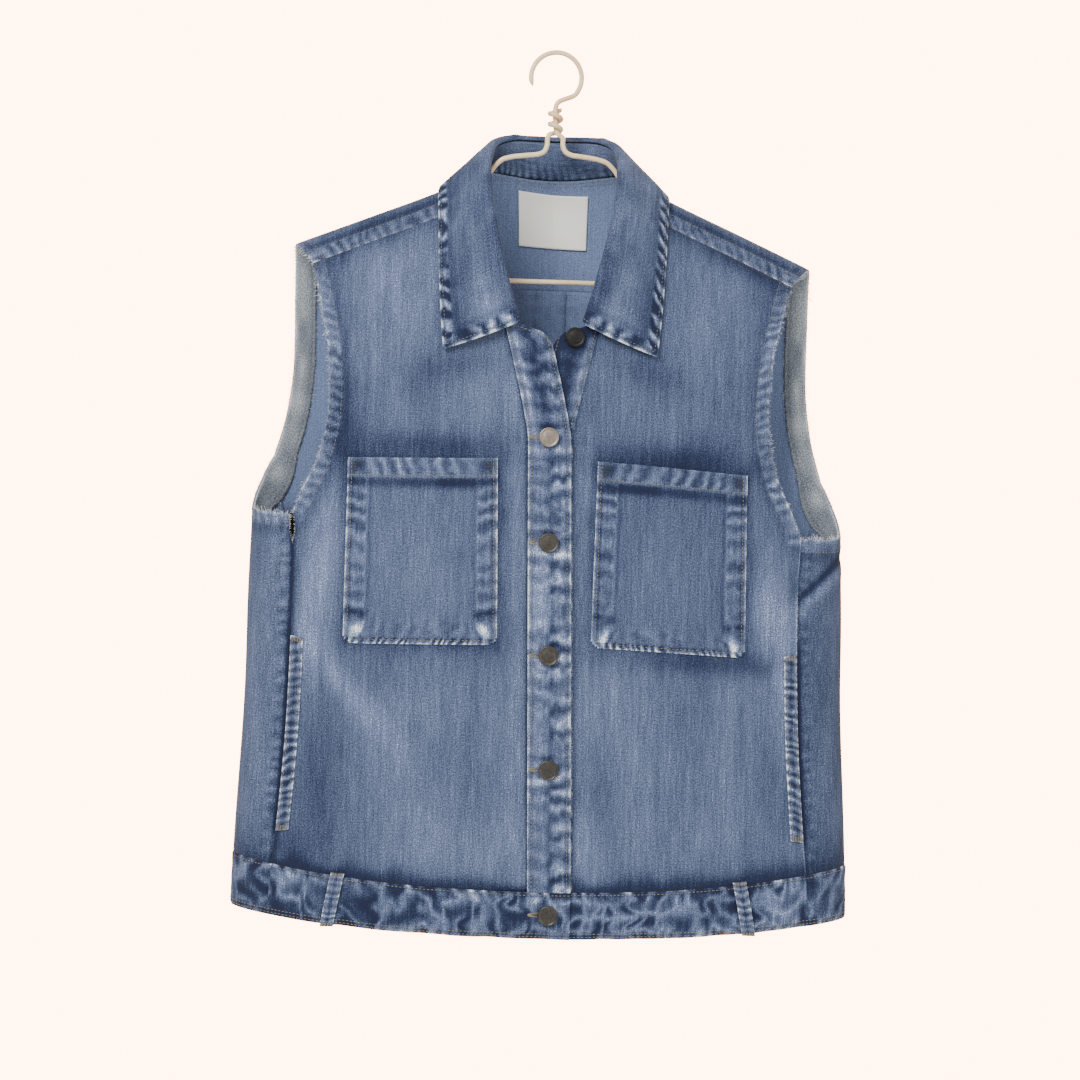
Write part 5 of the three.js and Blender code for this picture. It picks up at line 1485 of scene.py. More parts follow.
@dataclass(frozen=True)
class DenimFinish:
    """Washed denim: a tone from the cloth's wear and painted shade, broken up by warp streaks, grain and
    twill.
    """

    name: str
    stops: tuple
    streaks: float = 0.38
    grain: float = 0.85

    def material(self) -> bpy.types.Material:
        """Builds the node material."""
        material, tree = new_material(self.name)
        uv = add_node(tree, "ShaderNodeUVMap", {"uv_map": "grain"})
        wear = add_node(tree, "ShaderNodeAttribute", {"attribute_name": "wear"}, out="Fac")
        scaled = lambda x, y: add_node(tree, "ShaderNodeVectorMath", {"operation": "MULTIPLY"},
                                       {0: uv, 1: (x, y, 1.0)})
        noise = lambda vector, detail: add_node(
            tree, "ShaderNodeTexNoise", {"noise_dimensions": "2D"},
            {"Vector": vector, "Scale": 1.0, "Detail": detail, "Roughness": 0.6},
        )
        streak = noise(scaled(900.0, 55.0), 2.0) - 0.5
        long_streak = noise(scaled(330.0, 12.0), 1.0) - 0.5
        grain = noise(scaled(1000.0, 820.0), 1.0) - 0.5
        weft = noise(scaled(160.0, 900.0), 1.0) - 0.5
        split = add_node(tree, "ShaderNodeSeparateXYZ", {}, {0: uv}, out=0)
        split_y = add_node(tree, "ShaderNodeSeparateXYZ", {}, {0: uv}, out=1)
        twill = (split * 3200.0 + split_y * 2300.0).math("SINE")
        broken = (
            streak * self.streaks + long_streak * (0.5 * self.streaks) + grain * self.grain
            + weft * 0.12
        )
        tone = wear + broken + twill * 0.012
        colour = add_node(
            tree, "ShaderNodeValToRGB", {"ramp": [(at, reflectance(*c)) for at, c in self.stops]},
{"Fac": tone}
        )
        height = twill * 0.35 + grain * 1.6 + streak * 0.8
        finish_material(tree, colour, 0.9, height, 0.0002, 0.55,
                        **{"Specular IOR Level": 0.22, "Sheen Weight": 0.12, "Sheen Roughness": 0.5})
        return material


@dataclass(frozen=True)
class PlainFinish:
    """A finish of one colour with a fine mottle and grain."""

    name: str
    dark: tuple
    light: tuple
    rough: float
    metal: float = 0.0
    scale: float = 600.0
    coat: float = 0.0
    bump: float = 0.3

    def material(self) -> bpy.types.Material:
        """Builds the node material."""
        material, tree = new_material(self.name)
        place = add_node(tree, "ShaderNodeTexCoord", {}, {}, "Object")
        noise = add_node(tree, "ShaderNodeTexNoise", {}, {"Vector": place, "Scale": self.scale,
                                                          "Detail": 3.0})
        broad = add_node(tree, "ShaderNodeTexNoise", {}, {"Vector": place, "Scale": self.scale / 12,
                                                          "Detail": 2.0})
        tone = noise * 0.5 + broad * 0.5
        stops = [(0.3, reflectance(*self.dark)), (0.7, reflectance(*self.light))]
        colour = add_node(tree, "ShaderNodeValToRGB", {"ramp": stops}, {"Fac": tone})
        rough = noise * 0.2 + (self.rough - 0.1)
        finish_material(tree, colour, rough, noise, 0.0002, self.bump, Metallic=self.metal,
                        **{"Coat Weight": self.coat})
        return material


DENIM_STOPS = (
    (0.00, (38, 47, 76)), (0.12, (51, 65, 98)), (0.30, (78, 92, 123)), (0.50, (110, 125, 153)),
    (0.60, (123, 138, 162)), (0.72, (146, 159, 180)), (0.84, (168, 177, 188)), (1.0, (203, 207, 209)),
)
# The first, near-black stops of the wrong side and the facing give the painted shade inside the vest behind
# the rip.
WRONG_STOPS = (
    (0.00, (12, 14, 20)), (0.08, (92, 105, 132)), (0.30, (130, 145, 168)), (0.50, (151, 165, 184)),
    (0.62, (162, 174, 188)), (0.78, (184, 192, 202)), (1.0, (226, 228, 230)),
)
FACING_STOPS = (
    (0.00, (12, 14, 20)), (0.08, (102, 110, 122)), (0.30, (140, 147, 156)), (0.50, (166, 171, 174)),
    (0.66, (186, 189, 189)), (1.0, (235, 234, 228)),
)


THREAD_SCALE, METAL_SCALE = 1500.0, 500.0


@dataclass
class Finishes:
    """Every material of the vest."""

    denim: bpy.types.Material = field(init=False)
    wrong: bpy.types.Material = field(init=False)
    facing: bpy.types.Material = field(init=False)
    label: bpy.types.Material = field(init=False)
    thread: bpy.types.Material = field(init=False)
    blue_thread: bpy.types.Material = field(init=False)
    fray: bpy.types.Material = field(init=False)
    metal: bpy.types.Material = field(init=False)
    bright_metal: bpy.types.Material = field(init=False)
    wire: bpy.types.Material = field(init=False)

    def __post_init__(self) -> None:
        """Builds them all."""
        self.denim = DenimFinish("washed_denim", DENIM_STOPS).material()
        self.wrong = DenimFinish("denim_wrong_side", WRONG_STOPS, 0.2, 0.7).material()
        self.facing = DenimFinish("raw_facing", FACING_STOPS, 0.15, 0.8).material()
        self.label = PlainFinish("satin_label", (203, 204, 199), (214, 215, 210), 0.6,
                                 scale=900.0).material()
        self.thread = PlainFinish("gold_thread", (126, 122, 106), (176, 171, 150), 0.75,
                                  scale=THREAD_SCALE).material()
        self.dark_thread = PlainFinish("dark_thread", (52, 58, 74), (84, 90, 102), 0.8,
                                       scale=THREAD_SCALE).material()
        self.blue_thread = PlainFinish("faded_thread", (118, 122, 128), (164, 164, 158), 0.8,
                                       scale=THREAD_SCALE).material()
        self.fray = PlainFinish("white_fray", (196, 197, 196), (232, 231, 226), 0.9,
                                scale=THREAD_SCALE).material()
        self.metal = PlainFinish("pewter", (92, 89, 83), (126, 122, 114), 0.36, 0.85, METAL_SCALE).material()
        self.dark_metal = PlainFinish("shaded_pewter", (40, 40, 42), (66, 65, 64), 0.34, 0.7,
                                      METAL_SCALE).material()
        self.bright_metal = PlainFinish("worn_pewter", (150, 145, 136), (182, 177, 168), 0.34, 0.8,
                                        METAL_SCALE).material()
        self.wire = PlainFinish("coated_wire", (205, 190, 170), (224, 211, 192), 0.35, 0.0, 260.0, 0.35,
                                0.15).material()


@dataclass
class Studio:
    """The camera at the photograph's angle, soft light and a pale floor."""

    distance: float = 2.0
    width: float = 0.9504
    roll: float = math.radians(1.3)
    centre: tuple[float, float] = (-0.0053, -0.427)
    floor_z: float = -1.35
    ground: tuple[float, float, float, float] = (1.0, 0.5, 0.3, 1.0)
    ground_strength: float = 18.0

    def camera(self) -> None:
        """Sets the camera, turned a little, straight in front of the vest."""
        data = bpy.data.cameras.new("camera")
        data.lens = 36 * self.distance / self.width
        data.sensor_width = 36
        camera = bpy.data.objects.new("camera", data)
        c, s = math.cos(self.roll), math.sin(self.roll)
        turn = Matrix(((c, -s, 0), (0, 0, -1), (s, c, 0)))
        camera.matrix_world = Matrix.Translation((self.centre[0], -self.distance,
                                                  self.centre[1])) @ turn.to_4x4()
        bpy.context.scene.collection.objects.link(camera)
        bpy.context.scene.camera = camera

    def light(self, name: str, place: tuple, size: float, power: float, aim: tuple) -> None:
        """One soft area light."""
        data = bpy.data.lights.new(name, "AREA")
        data.size, data.energy = size, power
        data.color = (1.0, 0.985, 0.96)
        lamp = bpy.data.objects.new(name, data)
        lamp.location = place
        way = Matrix.Translation(place).to_translation() - Matrix.Translation(aim).to_translation()
        lamp.rotation_euler = way.to_track_quat("Z", "Y").to_euler()
        bpy.context.scene.collection.objects.link(lamp)

    def floor(self) -> None:
        """A pale round floor well below the hem."""
        ring = np.linspace(0, 2 * math.pi, 65)[:-1]
        points = np.stack([1.6 * np.cos(ring), 1.6 * np.sin(ring), np.full(64, self.floor_z)], 1)
        floor = new_object("floor", points, [list(range(64))], False)
        floor.data.materials.append(PlainFinish("pale_floor", (250, 243, 236), (254, 247, 240), 0.9,
                                                scale=4.0).material())

    def build(self, strength: float = 0.56) -> None:
        """Builds camera, lights, floor and the pale surroundings."""
        self.camera()
        self.floor()
        self.light("key", (-1.1, -2.0, 1.1), 1.3, 84, (0, 0, -0.4))
        self.light("fill", (1.5, -1.8, -0.2), 1.6, 22, (0, 0, -0.5))
        self.light("back", (0.6, 2.2, 0.9), 1.6, 75, (0, 0, -0.4))
        self.surroundings(strength)

    def surroundings(self, strength: float) -> None:
        """Pale surroundings: soft light on the vest, and a brighter ground for what lies behind it."""
        world = bpy.data.worlds.new("studio")
        world.use_nodes = True
        tree = world.node_tree
        tree.nodes.clear()
        soft = add_node(tree, "ShaderNodeBackground", {}, {"Color": (1.0, 0.94, 0.87, 1.0),
                                                           "Strength": strength})
        ground = add_node(tree, "ShaderNodeBackground", {}, {"Color": self.ground,
                                                             "Strength": self.ground_strength})
        seen = add_node(tree, "ShaderNodeLightPath", {}, {}, "Is Camera Ray")
        both = add_node(tree, "ShaderNodeMixShader", {}, {0: seen, 1: soft, 2: ground})
        add_node(tree, "ShaderNodeOutputWorld", {}, {"Surface": both})
        bpy.context.scene.world = world


@dataclass
class Buttons:
    """Metal shank buttons: a rolled rim round a slightly domed face, on a short foot."""

    radius: float = 8.6
    height: float = 3.4
    segments: int = 40
    profile: tuple = (
        (0.0, 0.0), (5.2, 0.0), (5.8, 0.9), (8.0, 1.05), (8.45, 1.5), (8.6, 2.1), (8.5, 2.8), (8.2, 3.25),
        (7.8, 3.4), (7.4, 3.25), (7.15, 2.9), (6.9, 2.75), (6.0, 2.85), (4.0, 3.1), (2.0, 3.22),
(0.0, 3.25),
    )

    def lathe(self, x: float, z: float, base: float) -> tuple[Array, list]:
        """Points and faces of one button that stands on the front."""
        ring = np.linspace(0, 2 * math.pi, self.segments, endpoint=False)
        points, faces = [np.array([[0, 0, self.profile[0][1]]], float)], []
        for r, h in self.profile[1:-1]:
            points.append(np.stack([r * np.cos(ring), r * np.sin(ring), np.full(self.segments, h)], 1))
        points.append(np.array([[0, 0, self.profile[-1][1]]], float))
        n, rows = self.segments, len(self.profile) - 2
        for s in range(n):
            t = (s + 1) % n
            faces.append([0, 1 + t, 1 + s])
            for k in range(rows - 1):
                low, high = 1 + k * n, 1 + (k + 1) * n
                faces.append([low + s, low + t, high + t, high + s])
            faces.append([1 + (rows - 1) * n + s, 1 + (rows - 1) * n + t, 1 + rows * n])
        local = np.concatenate(points)
        a, b = np.array(x, float), np.array(z, float)
        out = normals_of(BODY.front, a, b, 1)
        right = unit(np.cross(np.array([0, 0, 1.0]), -out) * -1)
        up = np.cross(out, right)
        seat = BODY.front(a, b) + out * base
        return seat + local[:, :1] * right + local[:, 1:2] * up + local[:, 2:] * out, faces

    def build(self, finishes: Finishes) -> None:
        """Makes the five buttons of the closure and the undone one under the collar."""
        places = [(f"button_{k + 1}", float(centre_x(z)) - 0.5, z) for k, z in enumerate(BUTTON_HEIGHTS)]
        for name, x, z in places + [("button_top", 21.0, -252.0)]:
            base = 0.1 if name == "button_top" else 2 * GAP + DOUBLE
            if z < WAIST.front:
                base = BAND_HIGH + DOUBLE + GAP + 0.1 + GAP
            points, faces = self.lathe(x, z, base + (0.35 if name != "button_top" else 0))
            obj = new_object(f"{name}_shank", points * MM, faces)
            # The top button takes a darker copy of the pewter, painted shade where it sits under the collar;
            # button_1 takes a paler one.
            metals = {"button_1": finishes.bright_metal, "button_top": finishes.dark_metal}
            obj.data.materials.append(metals.get(name, finishes.metal))
            obj.data.update()
            dress(obj, Slot.METAL, [name])
            log.info("%s at %.0f, %.0f", name, x, z)


@dataclass
class Hanger:
    """One coated wire, from the twist out over the shoulders, along the bar and up into the hook."""

    radius: float = 2.2
    sides: int = 16
    hook_radius: float = 20.0

    def route(self) -> Array:
        """The wire's centre points, listed along its bends."""
        clear = (CLOTH + GAP + self.radius) * 1.15 + 0.9
        shoulder = [(x, float(BODY.shoulder_z(x)) - clear) for x in (64, 74, 100, 130, 165, 184)]
        half = [(6.6, -73), (7, -80), (9.5, -85.4), (15, -87.9), (24, -89), (38, -91), (46, -93.6),
                (52.5, -99.5), (57, -105.5)]
        half += shoulder
        half += [(195.5, -172), (202, -180), (201.5, -190), (193, -199.3)]
        flat = lambda rows, sign: [(sign * x, 0.0, z) for x, z in rows]
        share = np.linspace(1, 0, 21)
        angle, wrap = math.pi * (1 - 5 * share), 2 * self.radius + 0.5
        twist = [(math.cos(a) * wrap, math.sin(a) * wrap, mix(-70, -47, t)) for a, t in zip(angle, share)]
        bar = [(x, 0.0, -200.0) for x in (-178, -95, 0, 95, 178)]
        neck = [(1.6, 0, -68.5), (0, 0, -61), (0, 0, -46), (2.2, 0, -41.5)]
        turn = np.radians(np.linspace(-42, 200, 17))
        reach = self.hook_radius + self.radius
        hook = [(math.cos(a) * reach, 0.0, math.sin(a) * reach - self.hook_radius) for a in turn]
        rows = twist + flat(half, -1) + bar + flat(half, 1)[::-1] + neck + hook
        return np.array(rows, float)

    def build(self, finishes: Finishes) -> None:
        """Sweeps the wire round its route."""
        line = centripetal(self.route(), np.linspace(0, 1, 900))
        line = at_shares(line, np.linspace(0, 1, 620))
        heading = unit(np.gradient(line, axis=0))
        across = np.zeros_like(line)
        side = np.array([0.0, 0, 1])
        for k, way in enumerate(heading):
            side = side - way * (side @ way)
            side = side / np.linalg.norm(side)
            across[k] = side
        other = np.cross(heading, across)
        ring = np.linspace(0, 2 * math.pi, self.sides, endpoint=False)
        radius = np.full(len(line), self.radius)
        radius[:3], radius[-3:] = (0.5, 1.4, 2.0), (2.0, 1.4, 0.5)
        offset = (
            across[:, None] * np.cos(ring)[None, :, None]
            + other[:, None] * np.sin(ring)[None, :, None]
        )
        points = (line[:, None] + offset * radius[:, None, None]).reshape(-1, 3)
        n = self.sides
        k, s = np.meshgrid(np.arange(len(line) - 1), np.arange(n), indexing="ij")
        quads = np.stack([k * n + s, k * n + (s + 1) % n, (k + 1) * n + (s + 1) % n, (k + 1) * n + s],
                         -1).reshape(-1, 4)
        last = (len(line) - 1) * n
        faces = quads.tolist() + [list(range(n))[::-1], [last + i for i in range(n)]]
        obj = new_object("hanger_tube", points * MM, faces)
        obj.data.materials.append(finishes.wire)
        obj.data.update()
        dress(obj, Slot.WIRE, ["hanger_wire"])
        log.info("hanger_tube: %.0f mm of wire", length_along(line)[-1])


@dataclass
class ThreadLine:
    """Places for stitches in millimetres: middles, the way they run and the way out of the cloth."""

    middle: Array
    way: Array
    out: Array

    @staticmethod
    def joined(lines: list["ThreadLine"]) -> "ThreadLine":
        """Several lines as one."""
        return ThreadLine(*[np.concatenate([getattr(line, key) for line in lines])
                            for key in ("middle", "way", "out")])


def sample(grid: Array, i: Array, j: Array) -> Array:
    """Values of a grid between its rows and columns."""
    i, j = np.clip(i, 0, grid.shape[0] - 1.001), np.clip(j, 0, grid.shape[1] - 1.001)
    a, b = np.floor(i).astype(int), np.floor(j).astype(int)
    u, v = (i - a)[:, None], (j - b)[:, None]
    return mix(mix(grid[a, b], grid[a + 1, b], u), mix(grid[a, b + 1], grid[a + 1, b + 1], u), v)


class Face(Enum):
    """Which face of a shell carries the thread."""

    OUTER = 1
    INNER = -1


@dataclass
class Sewing:
    """Lays stitches along lines on the shells."""

    pitch: float = 3.4
    length: float = 2.7
    sink: float = 0.12

    def stitched(self, shell: Shell, i: Array, j: Array, face: Face = Face.OUTER,
                 pitch: float = 0.0) -> ThreadLine:
        """Stitches along a path given in the shell's rows and columns."""
        offset = shell.high if face == Face.OUTER else shell.low
        surface = shell.middle + shell.normal * offset[..., None]
        line, normal = sample(surface, i, j), unit(sample(shell.normal, i, j)) * face.value
        passed = length_along(line)
        pitch = pitch or self.pitch
        count = max(int(passed[-1] / pitch), 1)
        where = (np.arange(count) + 0.5) * passed[-1] / count
        at = lambda rows, s: np.stack([np.interp(s, passed, rows[:, k]) for k in range(3)], 1)
        start, end = at(line, where - self.length / 2), at(line, where + self.length / 2)
        out = unit(at(normal, where))
        return ThreadLine((start + end) / 2 + out * self.sink, unit(end - start), out)

    def up_rows(self, shell: Shell, distance: Array, level: float, keep: Array | None = None,
                face: Face = Face.OUTER) -> ThreadLine:
        """A line that crosses every row where a distance field has the given level."""
        rows = np.arange(distance.shape[0]) if keep is None else np.flatnonzero(keep)
        columns = np.array([self.crossing(distance[r], level) for r in rows])
        return self.stitched(shell, rows.astype(float), columns, face)

    def over_columns(self, shell: Shell, distance: Array, level: float, keep: Array | None = None,
                     face: Face = Face.OUTER) -> ThreadLine:
        """A line that crosses every column where a distance field has the given level."""
        columns = np.arange(distance.shape[1]) if keep is None else np.flatnonzero(keep)
        rows = np.array([self.crossing(distance[:, c], level) for c in columns])
        return self.stitched(shell, rows, columns.astype(float), face)

    @staticmethod
    def crossing(values: Array, level: float) -> float:
        """Place between the values where they pass the level, from the end where they are lowest."""
        if values[0] < values[-1]:
            return float(np.interp(level, np.maximum.accumulate(values), np.arange(len(values))))
        back = values[::-1]
        return (
            len(values) - 1
            - float(np.interp(level, np.maximum.accumulate(back), np.arange(len(values))))
        )

    def tack(self, shell: Shell, corners: tuple, count: int) -> ThreadLine:
        """A dense tack: stitches across from one side to the other of a four-cornered patch.

        Args:
            shell: the piece that it is sewn on.
            corners: start and end of the one side, then of the other, in rows and columns.
            count: how many stitches.

        Returns:
            Its stitches.
        """
        a, b, c, d = (np.array(p, float) for p in corners)
        t = np.linspace(0, 1, count)[:, None]
        one, two = mix(a, b, t), mix(c, d, t)
        lines = []
        for start, end in zip(one, two):
            steps = np.linspace(0, 1, 6)[:, None]
            path = mix(start, end, steps)
            lines.append(self.stitched(shell, path[:, 0], path[:, 1], pitch=2.4))
        return ThreadLine.joined(lines)

    def buttonhole(self, x: float, z: float, base: float, half: float = 11.5) -> ThreadLine:
        """Overcast stitches round a buttonhole that runs across the placket."""
        run = np.linspace(0, 2 * math.pi, 64, endpoint=False)
        centre = np.stack([x + half * np.cos(run), z + 1.5 * np.sin(run)], 1)
        away = unit(np.stack([np.cos(run) * 0.25, np.sin(run)], 1))
        a, b = centre[:, 0], centre[:, 1]
        out = normals_of(BODY.front, a, b, 1)
        middle = BODY.front(a, b) + out * base
        tip = BODY.front(a + away[:, 0], b + away[:, 1]) + out * base
        return ThreadLine(middle, unit(tip - middle), out)


def tree_input(tree: bpy.types.NodeTree, name: str, value: float) -> None:
    """Adds a named number input to a geometry tree."""
    socket = tree.interface.new_socket(name, in_out="INPUT", socket_type="NodeSocketFloat")
    socket.default_value = value


def start_tree(name: str, sizes: dict[str, float]) -> tuple[bpy.types.NodeTree, dict[str, Socket]]:
    """A geometry tree with its sockets.

    Args:
        name: the tree's name.
        sizes: named number inputs with their values.

    Returns:
        The tree, and its inputs by name.
    """
    tree = bpy.data.node_groups.new(name, "GeometryNodeTree")
    tree.interface.new_socket("Geometry", in_out="INPUT", socket_type="NodeSocketGeometry")
    tree.interface.new_socket("Geometry", in_out="OUTPUT", socket_type="NodeSocketGeometry")
    for key, value in sizes.items():
        tree_input(tree, key, value)
    entry = tree.nodes.new("NodeGroupInput")
    return tree, {key: Socket(tree, entry.outputs[key]) for key in ("Geometry", *sizes)}


def named(tree: bpy.types.NodeTree, name: str, kind: str = "FLOAT_VECTOR") -> Socket:
    """Reads a named attribute."""
    return add_node(tree, "GeometryNodeInputNamedAttribute", {"data_type": kind}, {"Name": name},
                    "Attribute")


def turned(tree: bpy.types.NodeTree, way: Socket, out: Socket) -> Socket:
    """A rotation whose x runs along one direction and whose z leans to another."""
    first = add_node(tree, "FunctionNodeAlignRotationToVector", {"axis": "X"}, {"Vector": way})
    return add_node(
        tree, "FunctionNodeAlignRotationToVector", {"axis": "Z", "pivot_axis": "X"},
{"Rotation": first, "Vector": out}
    )


def end_tree(tree: bpy.types.NodeTree, instances: Socket,
             material: bpy.types.Material) -> bpy.types.NodeTree:
    """Realizes the instances, sets their material and ends the tree."""
    real = add_node(tree, "GeometryNodeRealizeInstances", {}, {"Geometry": instances})
    coloured = add_node(tree, "GeometryNodeSetMaterial", {}, {"Geometry": real, "Material": material})
    final = tree.nodes.new("NodeGroupOutput")
    tree.links.new(coloured.link, final.inputs["Geometry"])
    return tree


def stitch_tree(material: bpy.types.Material) -> bpy.types.NodeTree:
    """A tree that lays one rounded stitch on each point of a carrier mesh."""
    tree, inputs = start_tree("stitches", {"Length": 2.7 * MM, "Thickness": 0.75 * MM})
    grain = add_node(tree, "GeometryNodeMeshIcoSphere", {}, {"Radius": 0.5, "Subdivisions": 1})
    smooth_grain = add_node(tree, "GeometryNodeSetShadeSmooth", {}, {"Geometry": grain})
    size = add_node(
        tree, "ShaderNodeCombineXYZ", {}, {0: inputs["Length"], 1: inputs["Thickness"],
                                           2: inputs["Thickness"]}
    )
    rotation = turned(tree, named(tree, "way"), named(tree, "out"))
    placed = add_node(
        tree, "GeometryNodeInstanceOnPoints", {},
        {"Points": inputs["Geometry"], "Instance": smooth_grain, "Rotation": rotation, "Scale": size},
    )
    return end_tree(tree, placed, material)


def fray_tree(material: bpy.types.Material, seed: int = 5) -> bpy.types.NodeTree:
    """A tree that grows one bent loose thread from each point of a carrier mesh."""
    tree, inputs = start_tree("frays", {"Shortest": 0.5, "Longest": 1.6, "Spread": 0.9})
    curve = add_node(
        tree, "GeometryNodeCurveQuadraticBezier", {},
        {"Resolution": 4, "Start": (-0.1, 0, 0), "Middle": (0.55, 0.12, 0.05), "End": (1.0, 0.5, -0.1)},
    )
    section = add_node(tree, "GeometryNodeCurvePrimitiveCircle", {}, {"Resolution": 3, "Radius": 0.06})
    strand = add_node(tree, "GeometryNodeCurveToMesh", {}, {"Curve": curve, "Profile Curve": section,
                                                            "Fill Caps": True})
    spread = inputs["Spread"]
    low = add_node(tree, "ShaderNodeCombineXYZ", {}, {0: spread * -3.0, 1: spread * -0.7, 2: spread * -1.0})
    high = add_node(tree, "ShaderNodeCombineXYZ", {}, {0: spread * 3.0, 1: spread * 0.7, 2: spread})
    shake = add_node(tree, "FunctionNodeRandomValue", {"data_type": "FLOAT_VECTOR"},
                     {0: low, 1: high, "Seed": seed})
    rotation = turned(tree, named(tree, "way"), named(tree, "out"))
    loose = add_node(tree, "FunctionNodeRotateRotation", {"rotation_space": "LOCAL"},
                     {"Rotation": rotation, "Rotate By": shake})
    part = add_node(
        tree, "FunctionNodeRandomValue", {"data_type": "FLOAT"},
        {2: inputs["Shortest"], 3: inputs["Longest"], "Seed": seed + 1}, 1,
    )
    reach = named(tree, "reach", "FLOAT") * part
    thick = reach * 0.3 + 0.9 * MM
    size = add_node(tree, "ShaderNodeCombineXYZ", {}, {0: reach, 1: thick, 2: thick})
    placed = add_node(
        tree, "GeometryNodeInstanceOnPoints", {},
        {"Points": inputs["Geometry"], "Instance": strand, "Rotation": loose, "Scale": size},
    )
    return end_tree(tree, placed, material)


def grow(name: str, line: ThreadLine, tree: bpy.types.NodeTree, slot: Slot, sizes: dict[str, float],
         reach: Array | None = None) -> None:
    """Makes one mesh of the tree's threads on a line's places.

    Args:
        name: the piece's name.
        line: the places of the threads.
        tree: the geometry tree.
        slot: the record's material slot; not used.
        sizes: values of the tree's named inputs.
        reach: each loose thread's length, in metres.
    """
    carrier = new_object(f"{name}_carrier", line.middle * MM, [])
    mesh = carrier.data
    for key, value in (("way", line.way), ("out", line.out)):
        mesh.attributes.new(key, "FLOAT_VECTOR", "POINT").data.foreach_set("vector",
                value.astype(np.float32).ravel())
    if reach is not None:
        mesh.attributes.new("reach", "FLOAT", "POINT").data.foreach_set("value", reach.astype(np.float32))
    modifier = carrier.modifiers.new("threads", "NODES")
    modifier.node_group = tree
    for item in tree.interface.items_tree:
        if item.item_type == "SOCKET" and item.in_out == "INPUT" and item.name in sizes:
            modifier[item.identifier] = sizes[item.name]
    bpy.context.view_layer.update()
    made = bpy.data.meshes.new_from_object(carrier.evaluated_get(bpy.context.evaluated_depsgraph_get()))
    carrier.modifiers.clear()
    bpy.data.objects.remove(carrier)
    made.name = name
    obj = bpy.data.objects.new(name, made)
    bpy.context.scene.collection.objects.link(obj)
    dress(obj, slot)
    log.info("%s: %d threads, %d faces", name, len(line.middle), len(made.polygons))


